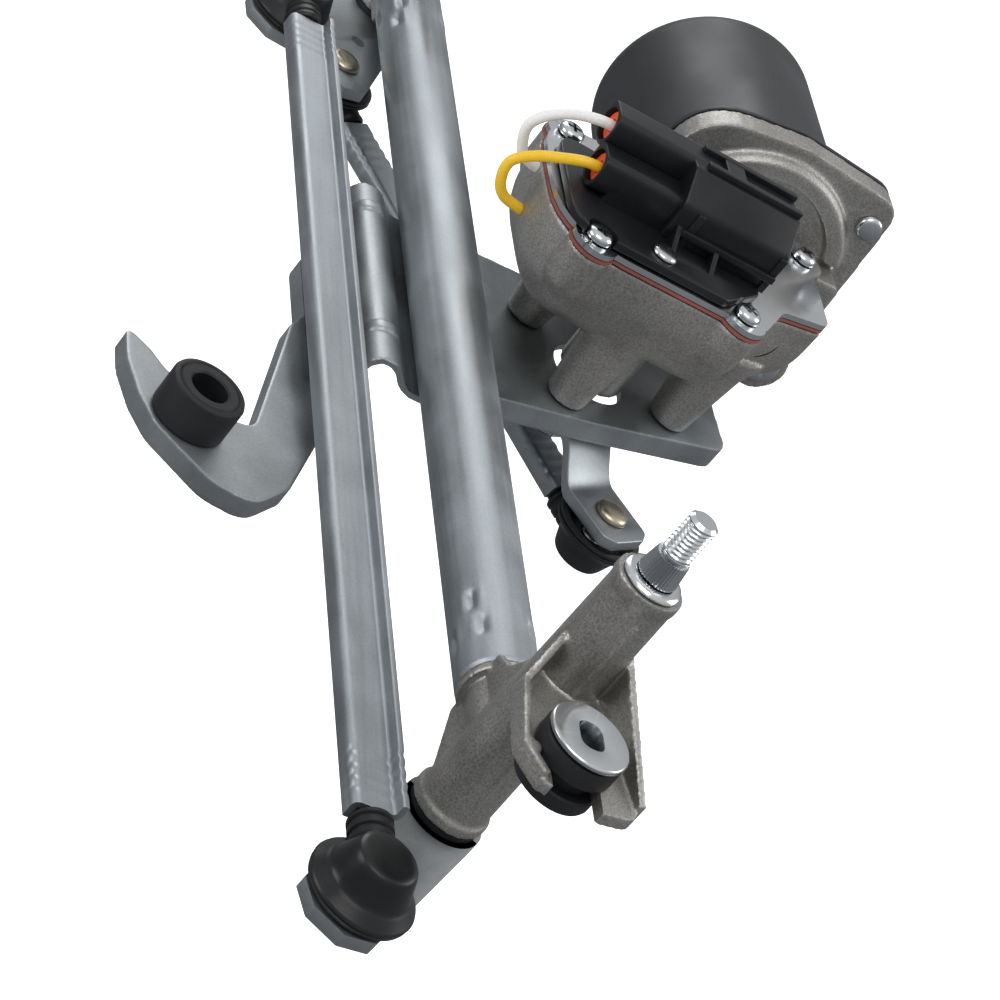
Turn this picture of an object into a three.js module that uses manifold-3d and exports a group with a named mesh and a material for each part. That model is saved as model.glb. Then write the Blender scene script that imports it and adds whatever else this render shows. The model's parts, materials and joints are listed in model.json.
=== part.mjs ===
// Windscreen wiper drive: a tube frame with a wiper pivot at each end, a gear motor on a pressed
// bracket, and the crank, levers and rods that turn the motor's turning into a sweep.
//
// Frame: millimetres, +Z up along the wiper shafts. The origin is on the near pivot's axis at the
// height of the frame tube's axis. +X runs along the tube to the far pivot. The levers and the rods
// are on the +Y side, and the motor is on the -Y side.
import * as THREE from 'three';
import { mergeVertices } from 'three/addons/utils/BufferGeometryUtils.js';
import Module from 'manifold-3d';

const wasm = await Module();
wasm.setup();

// ---------------------------------------------------------------------------------------------
// Driving dimensions
// ---------------------------------------------------------------------------------------------
const GAP = 0.3; // between pieces that touch

// Sides of a turned piece, by its size.
const FINE = 18;
const MEDIUM = 12;
const SMALL = 10;
const DEG = Math.PI / 180;

const PIVOT_SPACING = 367;
const TUBE = { outer: 11, inner: 9.2, inset: 18.8 };

// Each pivot: the barrel's lower ring, its top rim, and which way the tube runs from it.
const NEAR = { x: 0, ringZ: -24.5, topZ: 60.5, toTube: 1 };
const FAR = { x: PIVOT_SPACING, ringZ: -12, topZ: 73, toTube: -1 };
const BARREL = { bore: 7.3, bottom: 9.6, top: 8.9, ring: 10.7, ringHeight: 2.6 };
const LUG = { x: -30.8, y: 3.3, bottom: 23.4, top: 27, hole: 8.1, mouth: 7, wall: 2.2 };
const GROMMET = { flange: 10.9, snap: 9.2, neck: 7.8, bore: 5.5 };

const SHAFT = { radius: 5, foot: 4, knurl: 5.5, knurlTop: 4.65, knurlLength: 6.5, thread: 4, reach: 21.5 };
const BUSH = { inner: 5.3, outer: 7, flange: 10.2, flangeHeight: 1.9, length: 24 };

const LEVER = { thickness: 4, half: 11.5, below: 2.5 };
const STUD = { ball: 5.5, height: 7.5, neck: 3.1, collar: 6, shank: 3.9, hole: 4.2, head: 5.6 };
const SOCKET = { skirt: 14.6, waist: 11, top: 14.9, cavity: 5.8, mouth: 5 };

// Ball positions on the levers, as radius and angle from +X about the pivot.
const NEAR_BALL = { radius: 50, angle: 145.3 };
const FAR_BALL_LONG = { radius: 52.5, angle: 134 };
const FAR_BALL_SHORT = { radius: 51.2, angle: 159.9 };
const LEVER_END = 14.5;

const CRANK = { radius: 37, ballX: 172, ballY: -82, half: 10.5, thickness: 4, hubTop: -22, endTop: -34 };
const ROD = { web: 1.8, half: 6.6, under: 2.2, upLip: 3.8, downLip: 4.2, start: 17.6 };

const SHEET = 2.2;
const PLATE_TOP = -11.4;
const FLANGE_BOTTOM = -19.4;
const ARM = { top: -20.5, x: 102, y: 76, hole: 8.1, rim: 4.5 };

const CASE = { floor: 11, top: 42 };
const COVER = { gasket: 1, thickness: 1.8 };
const GEAR = { radius: 22, bottom: 27.5, top: 38, teeth: 36, depth: 1.6 };
const WORM = { offset: 29.2, z: 33, root: 3.9, crest: 5.5, from: 196, to: 217, pitch: 3.4 };
const YOKE = { face: 238, back: 247, cavity: 31, plate: 1.7 };
const CAN = { radius: 36.2, wall: 1.8, from: 247.3, length: 76, dome: 13, sides: 26 };

// ---------------------------------------------------------------------------------------------
// Materials
// ---------------------------------------------------------------------------------------------
const look = (color, roughness, metalness) => new THREE.MeshStandardMaterial({ color, roughness, metalness });
const ZINC = look('#9aa0a1', 0.42, 0.85);
const PAINTED_STEEL = look('#8e9496', 0.45, 0.6);
const CASTING = look('#8a8883', 0.55, 0.8);
const BRIGHT = look('#cfd2d3', 0.2, 1);
const BLACK_PAINT = look('#2c2e31', 0.45, 0.2);
const BLACK_PLASTIC = look('#151719', 0.5, 0);
const RUBBER = look('#141517', 0.75, 0);
const GASKET_RED = look('#8a4438', 0.7, 0);
const SEAL_ORANGE = look('#d5431f', 0.55, 0);
const WIRE_WHITE = look('#dedfdd', 0.45, 0);
const WIRE_YELLOW = look('#e5b51b', 0.45, 0);
const BRONZE = look('#8f6a3c', 0.5, 0.9);
const GEAR_PLASTIC = look('#d8d2bf', 0.5, 0);
const COPPER = look('#b46a3e', 0.35, 1);
const FERRITE = look('#3a3836', 0.8, 0);

// ---------------------------------------------------------------------------------------------
// Solids
// ---------------------------------------------------------------------------------------------
function toSolid(geometry) {
  const bare = geometry.clone();
  for (const name of Object.keys(bare.attributes)) {
    if (name !== 'position') bare.deleteAttribute(name);
  }
  const merged = mergeVertices(bare, 1e-4);
  return new wasm.Manifold(new wasm.Mesh({
    numProp: 3,
    vertProperties: new Float32Array(merged.attributes.position.array),
    triVerts: new Uint32Array(merged.index.array),
  }));
}

function toGeometry(solid) {
  const mesh = solid.getMesh();
  const geometry = new THREE.BufferGeometry();
  geometry.setAttribute('position', new THREE.BufferAttribute(new Float32Array(mesh.vertProperties), 3));
  geometry.setIndex(new THREE.BufferAttribute(new Uint32Array(mesh.triVerts), 1));
  return geometry;
}

const join = (...geometries) => toGeometry(geometries.map(toSolid).reduce((all, next) => all.add(next)));

function cut(geometry, ...tools) {
  return toGeometry(tools.map(toSolid).reduce((body, tool) => body.subtract(tool), toSolid(geometry)));
}

const common = (a, b) => toGeometry(toSolid(a).intersect(toSolid(b)));

// ---------------------------------------------------------------------------------------------
// Shapes
// ---------------------------------------------------------------------------------------------
// A closed profile of [radius, z] points, turned about Z.
function turned(profile, segments = MEDIUM) {
  const points = profile.map(([r, z]) => new THREE.Vector2(r, z));
  return new THREE.LatheGeometry(points, segments).rotateX(Math.PI / 2);
}

function rod(radius, z0, z1, segments = MEDIUM) {
  return turned([[0, z0], [radius, z0], [radius, z1], [0, z1]], segments);
}

function pipe(outer, inner, z0, z1, segments = MEDIUM) {
  return turned([[inner, z0], [outer, z0], [outer, z1], [inner, z1], [inner, z0]], segments);
}

function block(x0, x1, y0, y1, z0, z1) {
  return new THREE.BoxGeometry(x1 - x0, y1 - y0, z1 - z0)
    .translate((x0 + x1) / 2, (y0 + y1) / 2, (z0 + z1) / 2);
}

// A polygon of [x, y, corner radius] points with its corners rounded.
function roundedShape(corners) {
  const shape = new THREE.Shape();
  corners.forEach(([x, y, radius = 0], i) => {
    const here = new THREE.Vector2(x, y);
    const before = new THREE.Vector2(...corners.at(i - 1).slice(0, 2));
    const after = new THREE.Vector2(...corners[(i + 1) % corners.length].slice(0, 2));
    const back = before.clone().sub(here);
    const on = after.clone().sub(here);
    const half = Math.abs(Math.atan2(back.cross(on), back.dot(on))) / 2;
    const reach = Math.min(radius / Math.tan(half), back.length() * 0.49, on.length() * 0.49);
    const enter = here.clone().addScaledVector(back.normalize(), reach);
    const leave = here.clone().addScaledVector(on.normalize(), reach);
    if (i === 0) shape.moveTo(enter.x, enter.y);
    else shape.lineTo(enter.x, enter.y);
    if (reach > 0) shape.quadraticCurveTo(here.x, here.y, leave.x, leave.y);
  });
  shape.closePath();
  return shape;
}

// The same polygon with every side moved inwards.
function inset(corners, distance) {
  const area = corners.reduce((sum, [x, y], i) => {
    const [nextX, nextY] = corners[(i + 1) % corners.length];
    return sum + x * nextY - nextX * y;
  }, 0);
  const side = Math.sign(area) * distance;
  return corners.map(([x, y, radius = 0], i) => {
    const [px, py] = corners.at(i - 1);
    const [nx, ny] = corners[(i + 1) % corners.length];
    const a = new THREE.Vector2(x - px, y - py).normalize();
    const b = new THREE.Vector2(nx - x, ny - y).normalize();
    const turn = a.cross(b);
    const along = Math.abs(turn) < 1e-6 ? 0 : (1 - a.dot(b)) / turn;
    const moved = new THREE.Vector2(x - a.y * side, y + a.x * side).addScaledVector(a, -side * along);
    return [moved.x, moved.y, Math.max(radius - distance, 0)];
  });
}

function slab(shape, z0, z1, curveSegments = 3) {
  return new THREE.ExtrudeGeometry(shape, { depth: z1 - z0, bevelEnabled: false, curveSegments })
    .translate(0, 0, z0);
}

// A band of sheet metal that follows [a, b] points, as a closed outline.
function bandShape(points, thickness) {
  const left = [];
  const right = [];
  points.forEach(([a, b], i) => {
    const [pa, pb] = points[Math.max(i - 1, 0)];
    const [na, nb] = points[Math.min(i + 1, points.length - 1)];
    const before = new THREE.Vector2(a - pa, b - pb).normalize();
    const after = new THREE.Vector2(na - a, nb - b).normalize();
    const way = before.add(after).normalize();
    left.push(new THREE.Vector2(a - way.y * thickness / 2, b + way.x * thickness / 2));
    right.push(new THREE.Vector2(a + way.y * thickness / 2, b - way.x * thickness / 2));
  });
  return new THREE.Shape([...left, ...right.reverse()]);
}

// An outline in the X-Z plane, given thickness along Y.
function sideSlab(shape, y0, y1, curveSegments = 3) {
  return new THREE.ExtrudeGeometry(shape, { depth: y1 - y0, bevelEnabled: false, curveSegments })
    .rotateX(Math.PI / 2).translate(0, y1, 0);
}

// An outline in the Y-Z plane, given length along X.
function endSlab(shape, x0, x1, curveSegments = 3) {
  return new THREE.ExtrudeGeometry(shape, { depth: x1 - x0, bevelEnabled: false, curveSegments })
    .rotateX(Math.PI / 2).rotateZ(Math.PI / 2).translate(x0, 0, 0);
}

const alongX = (geometry) => geometry.rotateY(Math.PI / 2);
const alongY = (geometry) => geometry.rotateX(-Math.PI / 2);

function circleShape(x, y, radius) {
  return new THREE.Shape().absarc(x, y, radius, 0, 2 * Math.PI, false);
}

function polar(radius, degrees) {
  return new THREE.Vector2(radius * Math.cos(degrees * DEG), radius * Math.sin(degrees * DEG));
}

// ---------------------------------------------------------------------------------------------
// Assembly
// ---------------------------------------------------------------------------------------------
const assembly = new THREE.Group();

function add(parent, name, geometry, material) {
  const mesh = new THREE.Mesh(geometry, material);
  mesh.name = name;
  parent.add(mesh);
  return mesh;
}

function groupAt(x, y, z) {
  const group = new THREE.Group();
  group.position.set(x, y, z);
  assembly.add(group);
  return group;
}

// ---------------------------------------------------------------------------------------------
// Frame tube
// ---------------------------------------------------------------------------------------------
function buildTube() {
  const length = PIVOT_SPACING - 2 * TUBE.inset;
  const tube = alongX(pipe(TUBE.outer, TUBE.inner, 0, length, FINE));
  add(groupAt(TUBE.inset, 0, 0), 'frame_tube', tube, ZINC);
}

// ---------------------------------------------------------------------------------------------
// Pivots: casting, bush, mount grommet and sleeve
// ---------------------------------------------------------------------------------------------
function barrel(pivot) {
  const ringTop = pivot.ringZ + BARREL.ringHeight;
  return turned([
    [0, pivot.ringZ], [BARREL.ring, pivot.ringZ], [BARREL.ring, ringTop],
    [BARREL.bottom, ringTop + 1], [BARREL.top, pivot.topZ - 4], [BARREL.top + 0.4, pivot.topZ - 3],
    [BARREL.top + 0.4, pivot.topZ], [0, pivot.topZ],
  ], FINE);
}

// The web between the barrel and the tube, with a rib along each face.
function pivotWeb(pivot) {
  const mouth = TUBE.inset - GAP;
  const low = pivot.ringZ + 2;
  const web = [[0, low + 2], [mouth, -8.5], [mouth, 8.5], [0, 24]];
  const rib = [[0, low], [4, low], [mouth, -10.8], [mouth, 10.8], [11, 14], [0, 32]];
  return [
    sideSlab(roundedShape(web), -6.5, 6.5),
    sideSlab(roundedShape(rib), 5.2, 7.4),
    sideSlab(roundedShape(rib), -7.4, -5.2),
  ];
}

// The mount lug is an open-ended tray on the outboard side of the barrel.
function lugOutline() {
  return [
    [7, 4, 0], [-11.5, 16.4, 4], [-34, 18.6, 6], [-43.2, 13.2, 2], [-45.6, -5, 3], [-44, -13, 5],
    [-37, -15.8, 5], [1, -9.4, 0], [7, -3, 0],
  ];
}

// A wall that stands on the tray along a path of [x, y] points, with its height given in the X-Z plane.
function lugWall(path, heights) {
  const run = slab(bandShape(path, LUG.wall), LUG.bottom - 20, LUG.top + 20);
  return common(run, sideSlab(roundedShape(heights), -30, 30));
}

function pivotLug() {
  const { bottom, top } = LUG;
  const floor = slab(roundedShape(lugOutline()), bottom, top);
  const leverSide = lugWall(
    [[-1.5, 8.6], [-12, 15.2], [-33.6, 17.4], [-42, 12.7]],
    [[-46, bottom], [-46, top + 2], [-12, top + 2.6], [-3, top + 11], [3, top + 11], [3, bottom]],
  );
  const motorSide = lugWall(
    [[-1, -8.2], [-40, -14.6]],
    [[-43, bottom], [-43, top + 1], [-1, top + 14], [3, top + 14], [3, bottom - 11], [-7, bottom - 11],
      [-36, bottom]],
  );
  return [floor, leverSide, motorSide];
}

function pivotCasting(pivot) {
  const spigot = alongX(turned([[0, 0], [TUBE.inner - GAP, 0], [TUBE.inner - GAP, 36], [7.6, 39], [0, 39]]));
  const collar = alongX(rod(TUBE.outer, TUBE.inset - 2.6, TUBE.inset - GAP));
  const body = join(barrel(pivot), spigot, collar, ...pivotWeb(pivot), ...pivotLug());
  const bore = rod(BARREL.bore, pivot.ringZ - 2, pivot.topZ + 2);
  const lighten = alongX(rod(5.5, 22, 50, SMALL));
  const hole = rod(LUG.hole, LUG.bottom - 1, LUG.top + 1).translate(LUG.x, LUG.y, 0);
  const mouth = block(-60, LUG.x, LUG.y - LUG.mouth, LUG.y + LUG.mouth, LUG.bottom - 1, LUG.top + 8);
  return cut(body, bore, lighten, hole, mouth);
}

function mirrored(geometry) {
  const flipped = geometry.clone().scale(-1, 1, 1);
  const index = flipped.index.array;
  for (let i = 0; i < index.length; i += 3) [index[i], index[i + 1]] = [index[i + 1], index[i]];
  return flipped;
}

function grommet(plateBottom, plateTop, flangeUp, flangeDown, lowerFlange) {
  const { flange, neck, bore } = GROMMET;
  return turned([
    [bore, plateBottom - flangeDown], [lowerFlange - 1, plateBottom - flangeDown],
    [lowerFlange, plateBottom - flangeDown + 1], [lowerFlange, plateBottom - GAP], [neck, plateBottom - GAP],
    [neck, plateTop + GAP], [flange, plateTop + GAP], [flange, plateTop + flangeUp - 1],
    [flange - 1, plateTop + flangeUp], [bore, plateTop + flangeUp], [bore, plateBottom - flangeDown],
  ], FINE);
}

function mountSleeve(bottom, top) {
  const tubeOuter = GROMMET.bore - GAP;
  const slot = roundedShape([[-4.6, -3.4, 3.2], [4.6, -3.4, 3.2], [4.6, 3.4, 3.2], [-4.6, 3.4, 3.2]]);
  const body = turned([
    [0, bottom], [tubeOuter, bottom], [tubeOuter, top], [GROMMET.flange - 0.2, top],
    [GROMMET.flange, top + 0.3], [GROMMET.flange, top + 1.3], [GROMMET.flange - 0.2, top + 1.6],
    [0, top + 1.6],
  ], FINE);
  return cut(body, slab(slot, bottom - 1, top + 3));
}

function pivotBush(pivot) {
  const top = pivot.ringZ - GAP;
  return turned([
    [BUSH.inner, top - BUSH.flangeHeight], [BUSH.flange, top - BUSH.flangeHeight], [BUSH.flange, top],
    [BUSH.outer, top], [BUSH.outer, top + BUSH.length], [BUSH.inner, top + BUSH.length],
    [BUSH.inner, top - BUSH.flangeHeight],
  ]);
}

function buildPivot(name, pivot) {
  const group = groupAt(pivot.x, 0, 0);
  const casting = pivotCasting(pivot);
  add(group, `${name}_pivot_housing`, pivot.toTube > 0 ? casting : mirrored(casting), CASTING);
  add(group, `${name}_bush`, pivotBush(pivot), BLACK_PLASTIC);
  const up = 6.2;
  const down = 5.2;
  const rubberShape = grommet(LUG.bottom, LUG.top, up, down, GROMMET.flange);
  const rubber = add(group, `${name}_grommet`, rubberShape, RUBBER);
  rubber.position.set(pivot.toTube * LUG.x, LUG.y, 0);
  const sleeve = mountSleeve(LUG.bottom - down, LUG.top + up + GAP);
  add(group, `${name}_sleeve`, sleeve, BRIGHT).position.copy(rubber.position);
}

// ---------------------------------------------------------------------------------------------
// Wiper shafts, levers and their studs
// ---------------------------------------------------------------------------------------------
const leverTop = (pivot) => pivot.ringZ - LEVER.below;

function wiperShaft(pivot) {
  const top = leverTop(pivot);
  const foot = top - LEVER.thickness;
  const rim = pivot.topZ + 2.4;
  const knurlTop = rim + SHAFT.knurlLength;
  const tip = pivot.topZ + SHAFT.reach;
  return turned([
    [0, foot - 2], [5.6, foot - 2], [6.4, foot - 1.4], [6.4, foot - GAP], [SHAFT.foot, foot - GAP],
    [SHAFT.foot, top + GAP], [SHAFT.radius, top + GAP], [SHAFT.radius, rim - 0.6],
    [SHAFT.knurl, rim], [SHAFT.knurlTop, knurlTop], [3.4, knurlTop + 0.3],
    [3.4, knurlTop + 1.2], [SHAFT.thread, knurlTop + 1.6], [SHAFT.thread, tip - 1], [3.1, tip], [0, tip],
  ]);
}

function shaftCap(pivot) {
  return turned([
    [5.4, pivot.topZ + GAP], [8, pivot.topZ + GAP], [8, pivot.topZ + 1.1], [7.2, pivot.topZ + 1.7],
    [5.4, pivot.topZ + 1.7], [5.4, pivot.topZ + GAP],
  ]);
}

// A straight lever arm from the shaft to past a ball, with a chamfered end.
function leverArm(ball, thickness) {
  const end = ball.radius + LEVER_END;
  const { half } = LEVER;
  const cutBack = 6;
  const outline = [
    [0, -half], [end - cutBack, -half], [end, -half + cutBack * 1.1],
    [end, half - cutBack * 1.1], [end - cutBack, half], [0, half],
  ];
  const arm = join(slab(roundedShape(outline), 0, thickness), rod(half, 0, thickness, FINE));
  return arm.rotateZ(ball.angle * DEG);
}

function boreAt(ball, radius) {
  const at = polar(ball.radius, ball.angle);
  return rod(radius, -1, LEVER.thickness + 1, SMALL).translate(at.x, at.y, 0);
}

function nearLever() {
  const arm = leverArm(NEAR_BALL, LEVER.thickness);
  return cut(arm, rod(SHAFT.foot + GAP, -1, LEVER.thickness + 1, SMALL), boreAt(NEAR_BALL, STUD.hole));
}

function farLever() {
  const arms = join(leverArm(FAR_BALL_LONG, LEVER.thickness), leverArm(FAR_BALL_SHORT, LEVER.thickness));
  const jigHole = { radius: 31, angle: FAR_BALL_SHORT.angle };
  return cut(
    arms,
    rod(SHAFT.foot + GAP, -1, LEVER.thickness + 1, SMALL),
    boreAt(FAR_BALL_LONG, STUD.hole), boreAt(FAR_BALL_SHORT, STUD.hole), boreAt(jigHole, 2.6),
  );
}

// The ball half of a stud, standing on z = 0.
function ballProfile() {
  const { ball, height, neck, collar } = STUD;
  const steps = 5;
  const from = -Math.acos(neck / ball);
  const arc = Array.from({ length: steps + 1 }, (_, i) => {
    const angle = from + (Math.PI / 2 - from) * (i / steps);
    return [i === steps ? 0 : ball * Math.cos(angle), height + ball * Math.sin(angle)];
  });
  return [[collar, GAP], [collar, 1.4], [neck, 2], ...arc];
}

const loneBall = () => turned([[0, GAP], ...ballProfile()], SMALL);

// The rivet half of a stud: a shank through the plate and a head under it.
function rivetProfile(plate, shankTop) {
  const { shank, head } = STUD;
  const under = -plate - GAP;
  return [
    [0, under - 2], [head - 1.4, under - 2], [head, under - 0.9], [head, under],
    [shank, under], [shank, shankTop],
  ];
}

const wholeStud = () => turned([...rivetProfile(LEVER.thickness, GAP), ...ballProfile()], SMALL);
const loneRivet = (plate) => turned([...rivetProfile(plate, -0.1), [0, -0.1]], SMALL);
const upsideDown = (geometry) => geometry.rotateX(Math.PI);

function buildLever(name, pivot, lever) {
  const group = groupAt(pivot.x, 0, 0);
  add(group, `${name}_shaft`, wiperShaft(pivot), BRIGHT);
  add(group, `${name}_shaft_cap`, shaftCap(pivot), BRIGHT);
  add(group, `${name}_lever`, lever, ZINC).position.z = leverTop(pivot) - LEVER.thickness;
  return group;
}

function buildLevers() {
  const near = buildLever('near', NEAR, nearLever());
  const nearAt = polar(NEAR_BALL.radius, NEAR_BALL.angle);
  add(near, 'near_rivet', loneRivet(LEVER.thickness), BRIGHT)
    .position.set(nearAt.x, nearAt.y, leverTop(NEAR));
  const far = buildLever('far', FAR, farLever());
  const longAt = polar(FAR_BALL_LONG.radius, FAR_BALL_LONG.angle);
  add(far, 'far_stud_long', wholeStud(), BRIGHT).position.set(longAt.x, longAt.y, leverTop(FAR));
  const shortAt = polar(FAR_BALL_SHORT.radius, FAR_BALL_SHORT.angle);
  add(far, 'far_stud_short', upsideDown(wholeStud()), BRIGHT)
    .position.set(shortAt.x, shortAt.y, leverTop(FAR) - LEVER.thickness);
}

// ---------------------------------------------------------------------------------------------
// Rods with their ball sockets
// ---------------------------------------------------------------------------------------------
function ballPoint(pivot, ball, height) {
  const at = polar(ball.radius, ball.angle);
  return new THREE.Vector3(pivot.x + at.x, at.y, height);
}

const NEAR_POINT = ballPoint(NEAR, NEAR_BALL, leverTop(NEAR) + STUD.height);
const LONG_POINT = ballPoint(FAR, FAR_BALL_LONG, leverTop(FAR) + STUD.height);
const SHORT_POINT = ballPoint(FAR, FAR_BALL_SHORT, leverTop(FAR) - LEVER.thickness - STUD.height);
const CRANK_POINT = new THREE.Vector3(
  CRANK.ballX, CRANK.ballY, CRANK.endTop - CRANK.thickness - STUD.height);

// The socket and its dust boot, around a ball centre at the origin, open downwards.
function socketBody() {
  const { skirt, waist, top, cavity, mouth } = SOCKET;
  const low = -STUD.height + 0.9;
  const high = top - STUD.height;
  const steps = 4;
  const inside = Array.from({ length: steps + 1 }, (_, i) => {
    const angle = Math.PI / 2 - (i / steps) * (Math.PI / 2 + Math.asin(3 / cavity));
    return [i === 0 ? 0 : cavity * Math.cos(angle), cavity * Math.sin(angle)];
  });
  return turned([
    [0, high], [5.5, high - 0.5], [waist - 2, high - 1.9], [waist, high - 4.4], [waist + 0.6, -1.6],
    [skirt - 0.9, low + 3], [skirt, low + 2.2], [skirt, low + 0.5], [skirt - 0.8, low],
    [skirt - 2.4, low], [mouth + 4.6, low + 2.6], [mouth + 2.6, low + 2.8], ...inside.reverse(),
  ].reverse());
}

// The moulded neck that joins a socket to its rod, along +X.
function socketNeck() {
  const plug = alongX(turned([
    [0, 8.5], [5.8, 8.5], [5.8, ROD.start - 1.4], [5, ROD.start - GAP], [0, ROD.start - GAP],
  ]));
  return [plug, block(9, ROD.start + 14, -4.6, 4.4, -2.6, 1.9)];
}

function socket(from, to, side) {
  const way = to.clone().sub(from);
  const turn = Math.atan2(way.y, way.x);
  const tilt = Math.atan2(way.z, Math.hypot(way.x, way.y));
  const neck = socketNeck().map((piece) => piece.rotateY(-tilt).rotateZ(turn));
  const body = side > 0 ? socketBody() : upsideDown(socketBody());
  return join(body, ...neck);
}

// The rod's cross-section in its own Y-Z plane: a flat web with one edge down. The other edge is up
// on the long rod, and down on the short rod, which passes close under the crank.
function rodSection(otherEdgeUp) {
  const { web, half, under, upLip, downLip } = ROD;
  const over = under + web;
  const otherEdge = otherEdgeUp
    ? [[-half + web, over], [-half + web, over + upLip], [-half, over + upLip], [-half, under]]
    : [[-half, over], [-half, under - downLip], [-half + web, under - downLip], [-half + web, under]];
  return new THREE.Shape([
    [half, under - downLip], [half, over], ...otherEdge, [half - web, under], [half - web, under - downLip],
  ].map(([y, z]) => new THREE.Vector2(y, z)));
}

function buildRod(name, from, to, otherEdgeUp) {
  const way = to.clone().sub(from);
  const group = groupAt(from.x, from.y, from.z);
  group.rotation.order = 'ZYX';
  group.rotation.z = Math.atan2(way.y, way.x);
  group.rotation.y = -Math.atan2(way.z, Math.hypot(way.x, way.y));
  add(group, name, endSlab(rodSection(otherEdgeUp), ROD.start, way.length() - ROD.start), ZINC);
}

function buildRods() {
  buildRod('long_rod', NEAR_POINT, LONG_POINT, true);
  buildRod('short_rod', CRANK_POINT, SHORT_POINT, false);
  const sockets = [
    ['long_rod_near_socket', NEAR_POINT, LONG_POINT, 1],
    ['long_rod_far_socket', LONG_POINT, NEAR_POINT, 1],
    ['short_rod_far_socket', SHORT_POINT, CRANK_POINT, -1],
    ['short_rod_crank_socket', CRANK_POINT, SHORT_POINT, -1],
  ];
  for (const [name, at, other, side] of sockets) {
    add(groupAt(at.x, at.y, at.z), name, socket(at, other, side), BLACK_PLASTIC);
  }
  add(groupAt(NEAR_POINT.x, NEAR_POINT.y, leverTop(NEAR)), 'near_ball', loneBall(), BRIGHT);
  add(groupAt(CRANK_POINT.x, CRANK_POINT.y, CRANK.endTop - CRANK.thickness), 'crank_ball',
    upsideDown(loneBall()), BRIGHT);
}

// ---------------------------------------------------------------------------------------------
// Motor bracket and its arm
// ---------------------------------------------------------------------------------------------
// The output shaft is in line with the short rod when the wipers are parked.
const PARK_LINE = new THREE.Vector2(SHORT_POINT.x - CRANK_POINT.x, SHORT_POINT.y - CRANK_POINT.y).normalize();
const OUTPUT = { x: CRANK.ballX + PARK_LINE.x * CRANK.radius, y: CRANK.ballY + PARK_LINE.y * CRANK.radius };
const FEET = [[218, -39.5], [184.5, -50], [200, -90.5]];

function plateOutline() {
  return [[163, -12, 2], [178, -60, 10], [198, -114, 8], [229, -112, 10], [242, -60, 16], [239, -12, 2]];
}

function saddleShape() {
  const path = [
    [-13, -12.5], [5, -12.5], [8.5, -12.2], [11.4, -10.6], [13.6, -8.2], [16, -6.6], [18.6, -6.1],
    [21.2, -6.8], [23, -9], [24.3, -12.5], [25.8, -16.4], [28.6, -18.6], [32, -19.1], [36, -19.1],
  ];
  return bandShape(path, SHEET);
}

function saddleBead(x) {
  const arch = [
    [12.6, -9.4], [14.4, -6.7], [16.6, -5.3], [18.8, -5], [21.4, -5.7], [23.4, -8.4], [24.4, -11.5],
  ];
  return endSlab(bandShape(arch, 1.6), x, x + 4);
}

function motorBracket() {
  const outline = plateOutline();
  const sheet = slab(roundedShape(outline), PLATE_TOP - SHEET, PLATE_TOP);
  const skirt = cut(
    slab(roundedShape(outline), FLANGE_BOTTOM, PLATE_TOP - 0.2),
    slab(roundedShape(inset(outline, SHEET)), FLANGE_BOTTOM - 1, PLATE_TOP + 1),
    block(150, 260, -14.5, 0, -30, 0),
  );
  const saddle = endSlab(saddleShape(), 148, 236);
  const body = join(sheet, skirt, saddle, saddleBead(162), saddleBead(222));
  const shaftHole = rod(12.5, -30, 0).translate(OUTPUT.x, OUTPUT.y, 0);
  const boltHoles = FEET.map(([x, y]) => rod(3.4, -30, 0, SMALL).translate(x, y, 0));
  return cut(body, shaftHole, ...boltHoles);
}

function armOutline() {
  return [
    [206, 28, 6], [150, 28, 6], [119.5, 34, 8], [92, 44.5, 10], [78.5, 56, 10], [80, 69, 12],
    [94, 85.5, 12], [104, 90.5, 12], [117, 94, 10], [131, 94.5, 5], [125, 86.5, 4], [119.3, 82, 8],
    [110.5, 62, 8], [112, 55, 8], [134, 49.5, 10], [168, 41, 4], [176, 36, 4], [206, 36, 6],
  ];
}

function bracketArm() {
  const outline = armOutline();
  const { top, rim } = ARM;
  const sheet = slab(roundedShape(outline), top - SHEET, top);
  const skirt = cut(
    slab(roundedShape(outline), top - SHEET - rim, top - 0.2),
    slab(roundedShape(inset(outline, SHEET)), top - 30, top + 1),
  );
  const hole = rod(ARM.hole, top - 30, top + 5).translate(ARM.x, ARM.y, 0);
  return cut(join(sheet, skirt), hole);
}

function buildBracket() {
  add(assembly, 'motor_bracket', motorBracket(), PAINTED_STEEL);
  add(assembly, 'bracket_arm', bracketArm(), PAINTED_STEEL);
  const rubber = grommet(ARM.top - SHEET, ARM.top, 12, 4, GROMMET.snap);
  add(groupAt(ARM.x, ARM.y, 0), 'arm_grommet', rubber, RUBBER);
}

// ---------------------------------------------------------------------------------------------
// Motor: cast gear case, cover, can and what is inside
// ---------------------------------------------------------------------------------------------
const WORM_Y = OUTPUT.y - WORM.offset;
const SCREW_SPOTS = [[174, -20], [173.5, -73], [225, -17], [226, -105]];
const YOKE_SCREW = { y: -118.7, z: 6.6 };
const YOKE_RIVET = { y: -122.6, z: 60 };

function caseOutline() {
  return [[168, -5, 26], [168, -81, 8], [186, -92, 8], [191, -111, 7], [233, -111, 7], [233, -5, 22]];
}

function yokeOutline() {
  return [[-52.5, -4.5, 20], [-133, -4.5, 9], [-128, 70.5, 9], [-90, 73, 30], [-52.5, 67, 24]];
}

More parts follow.
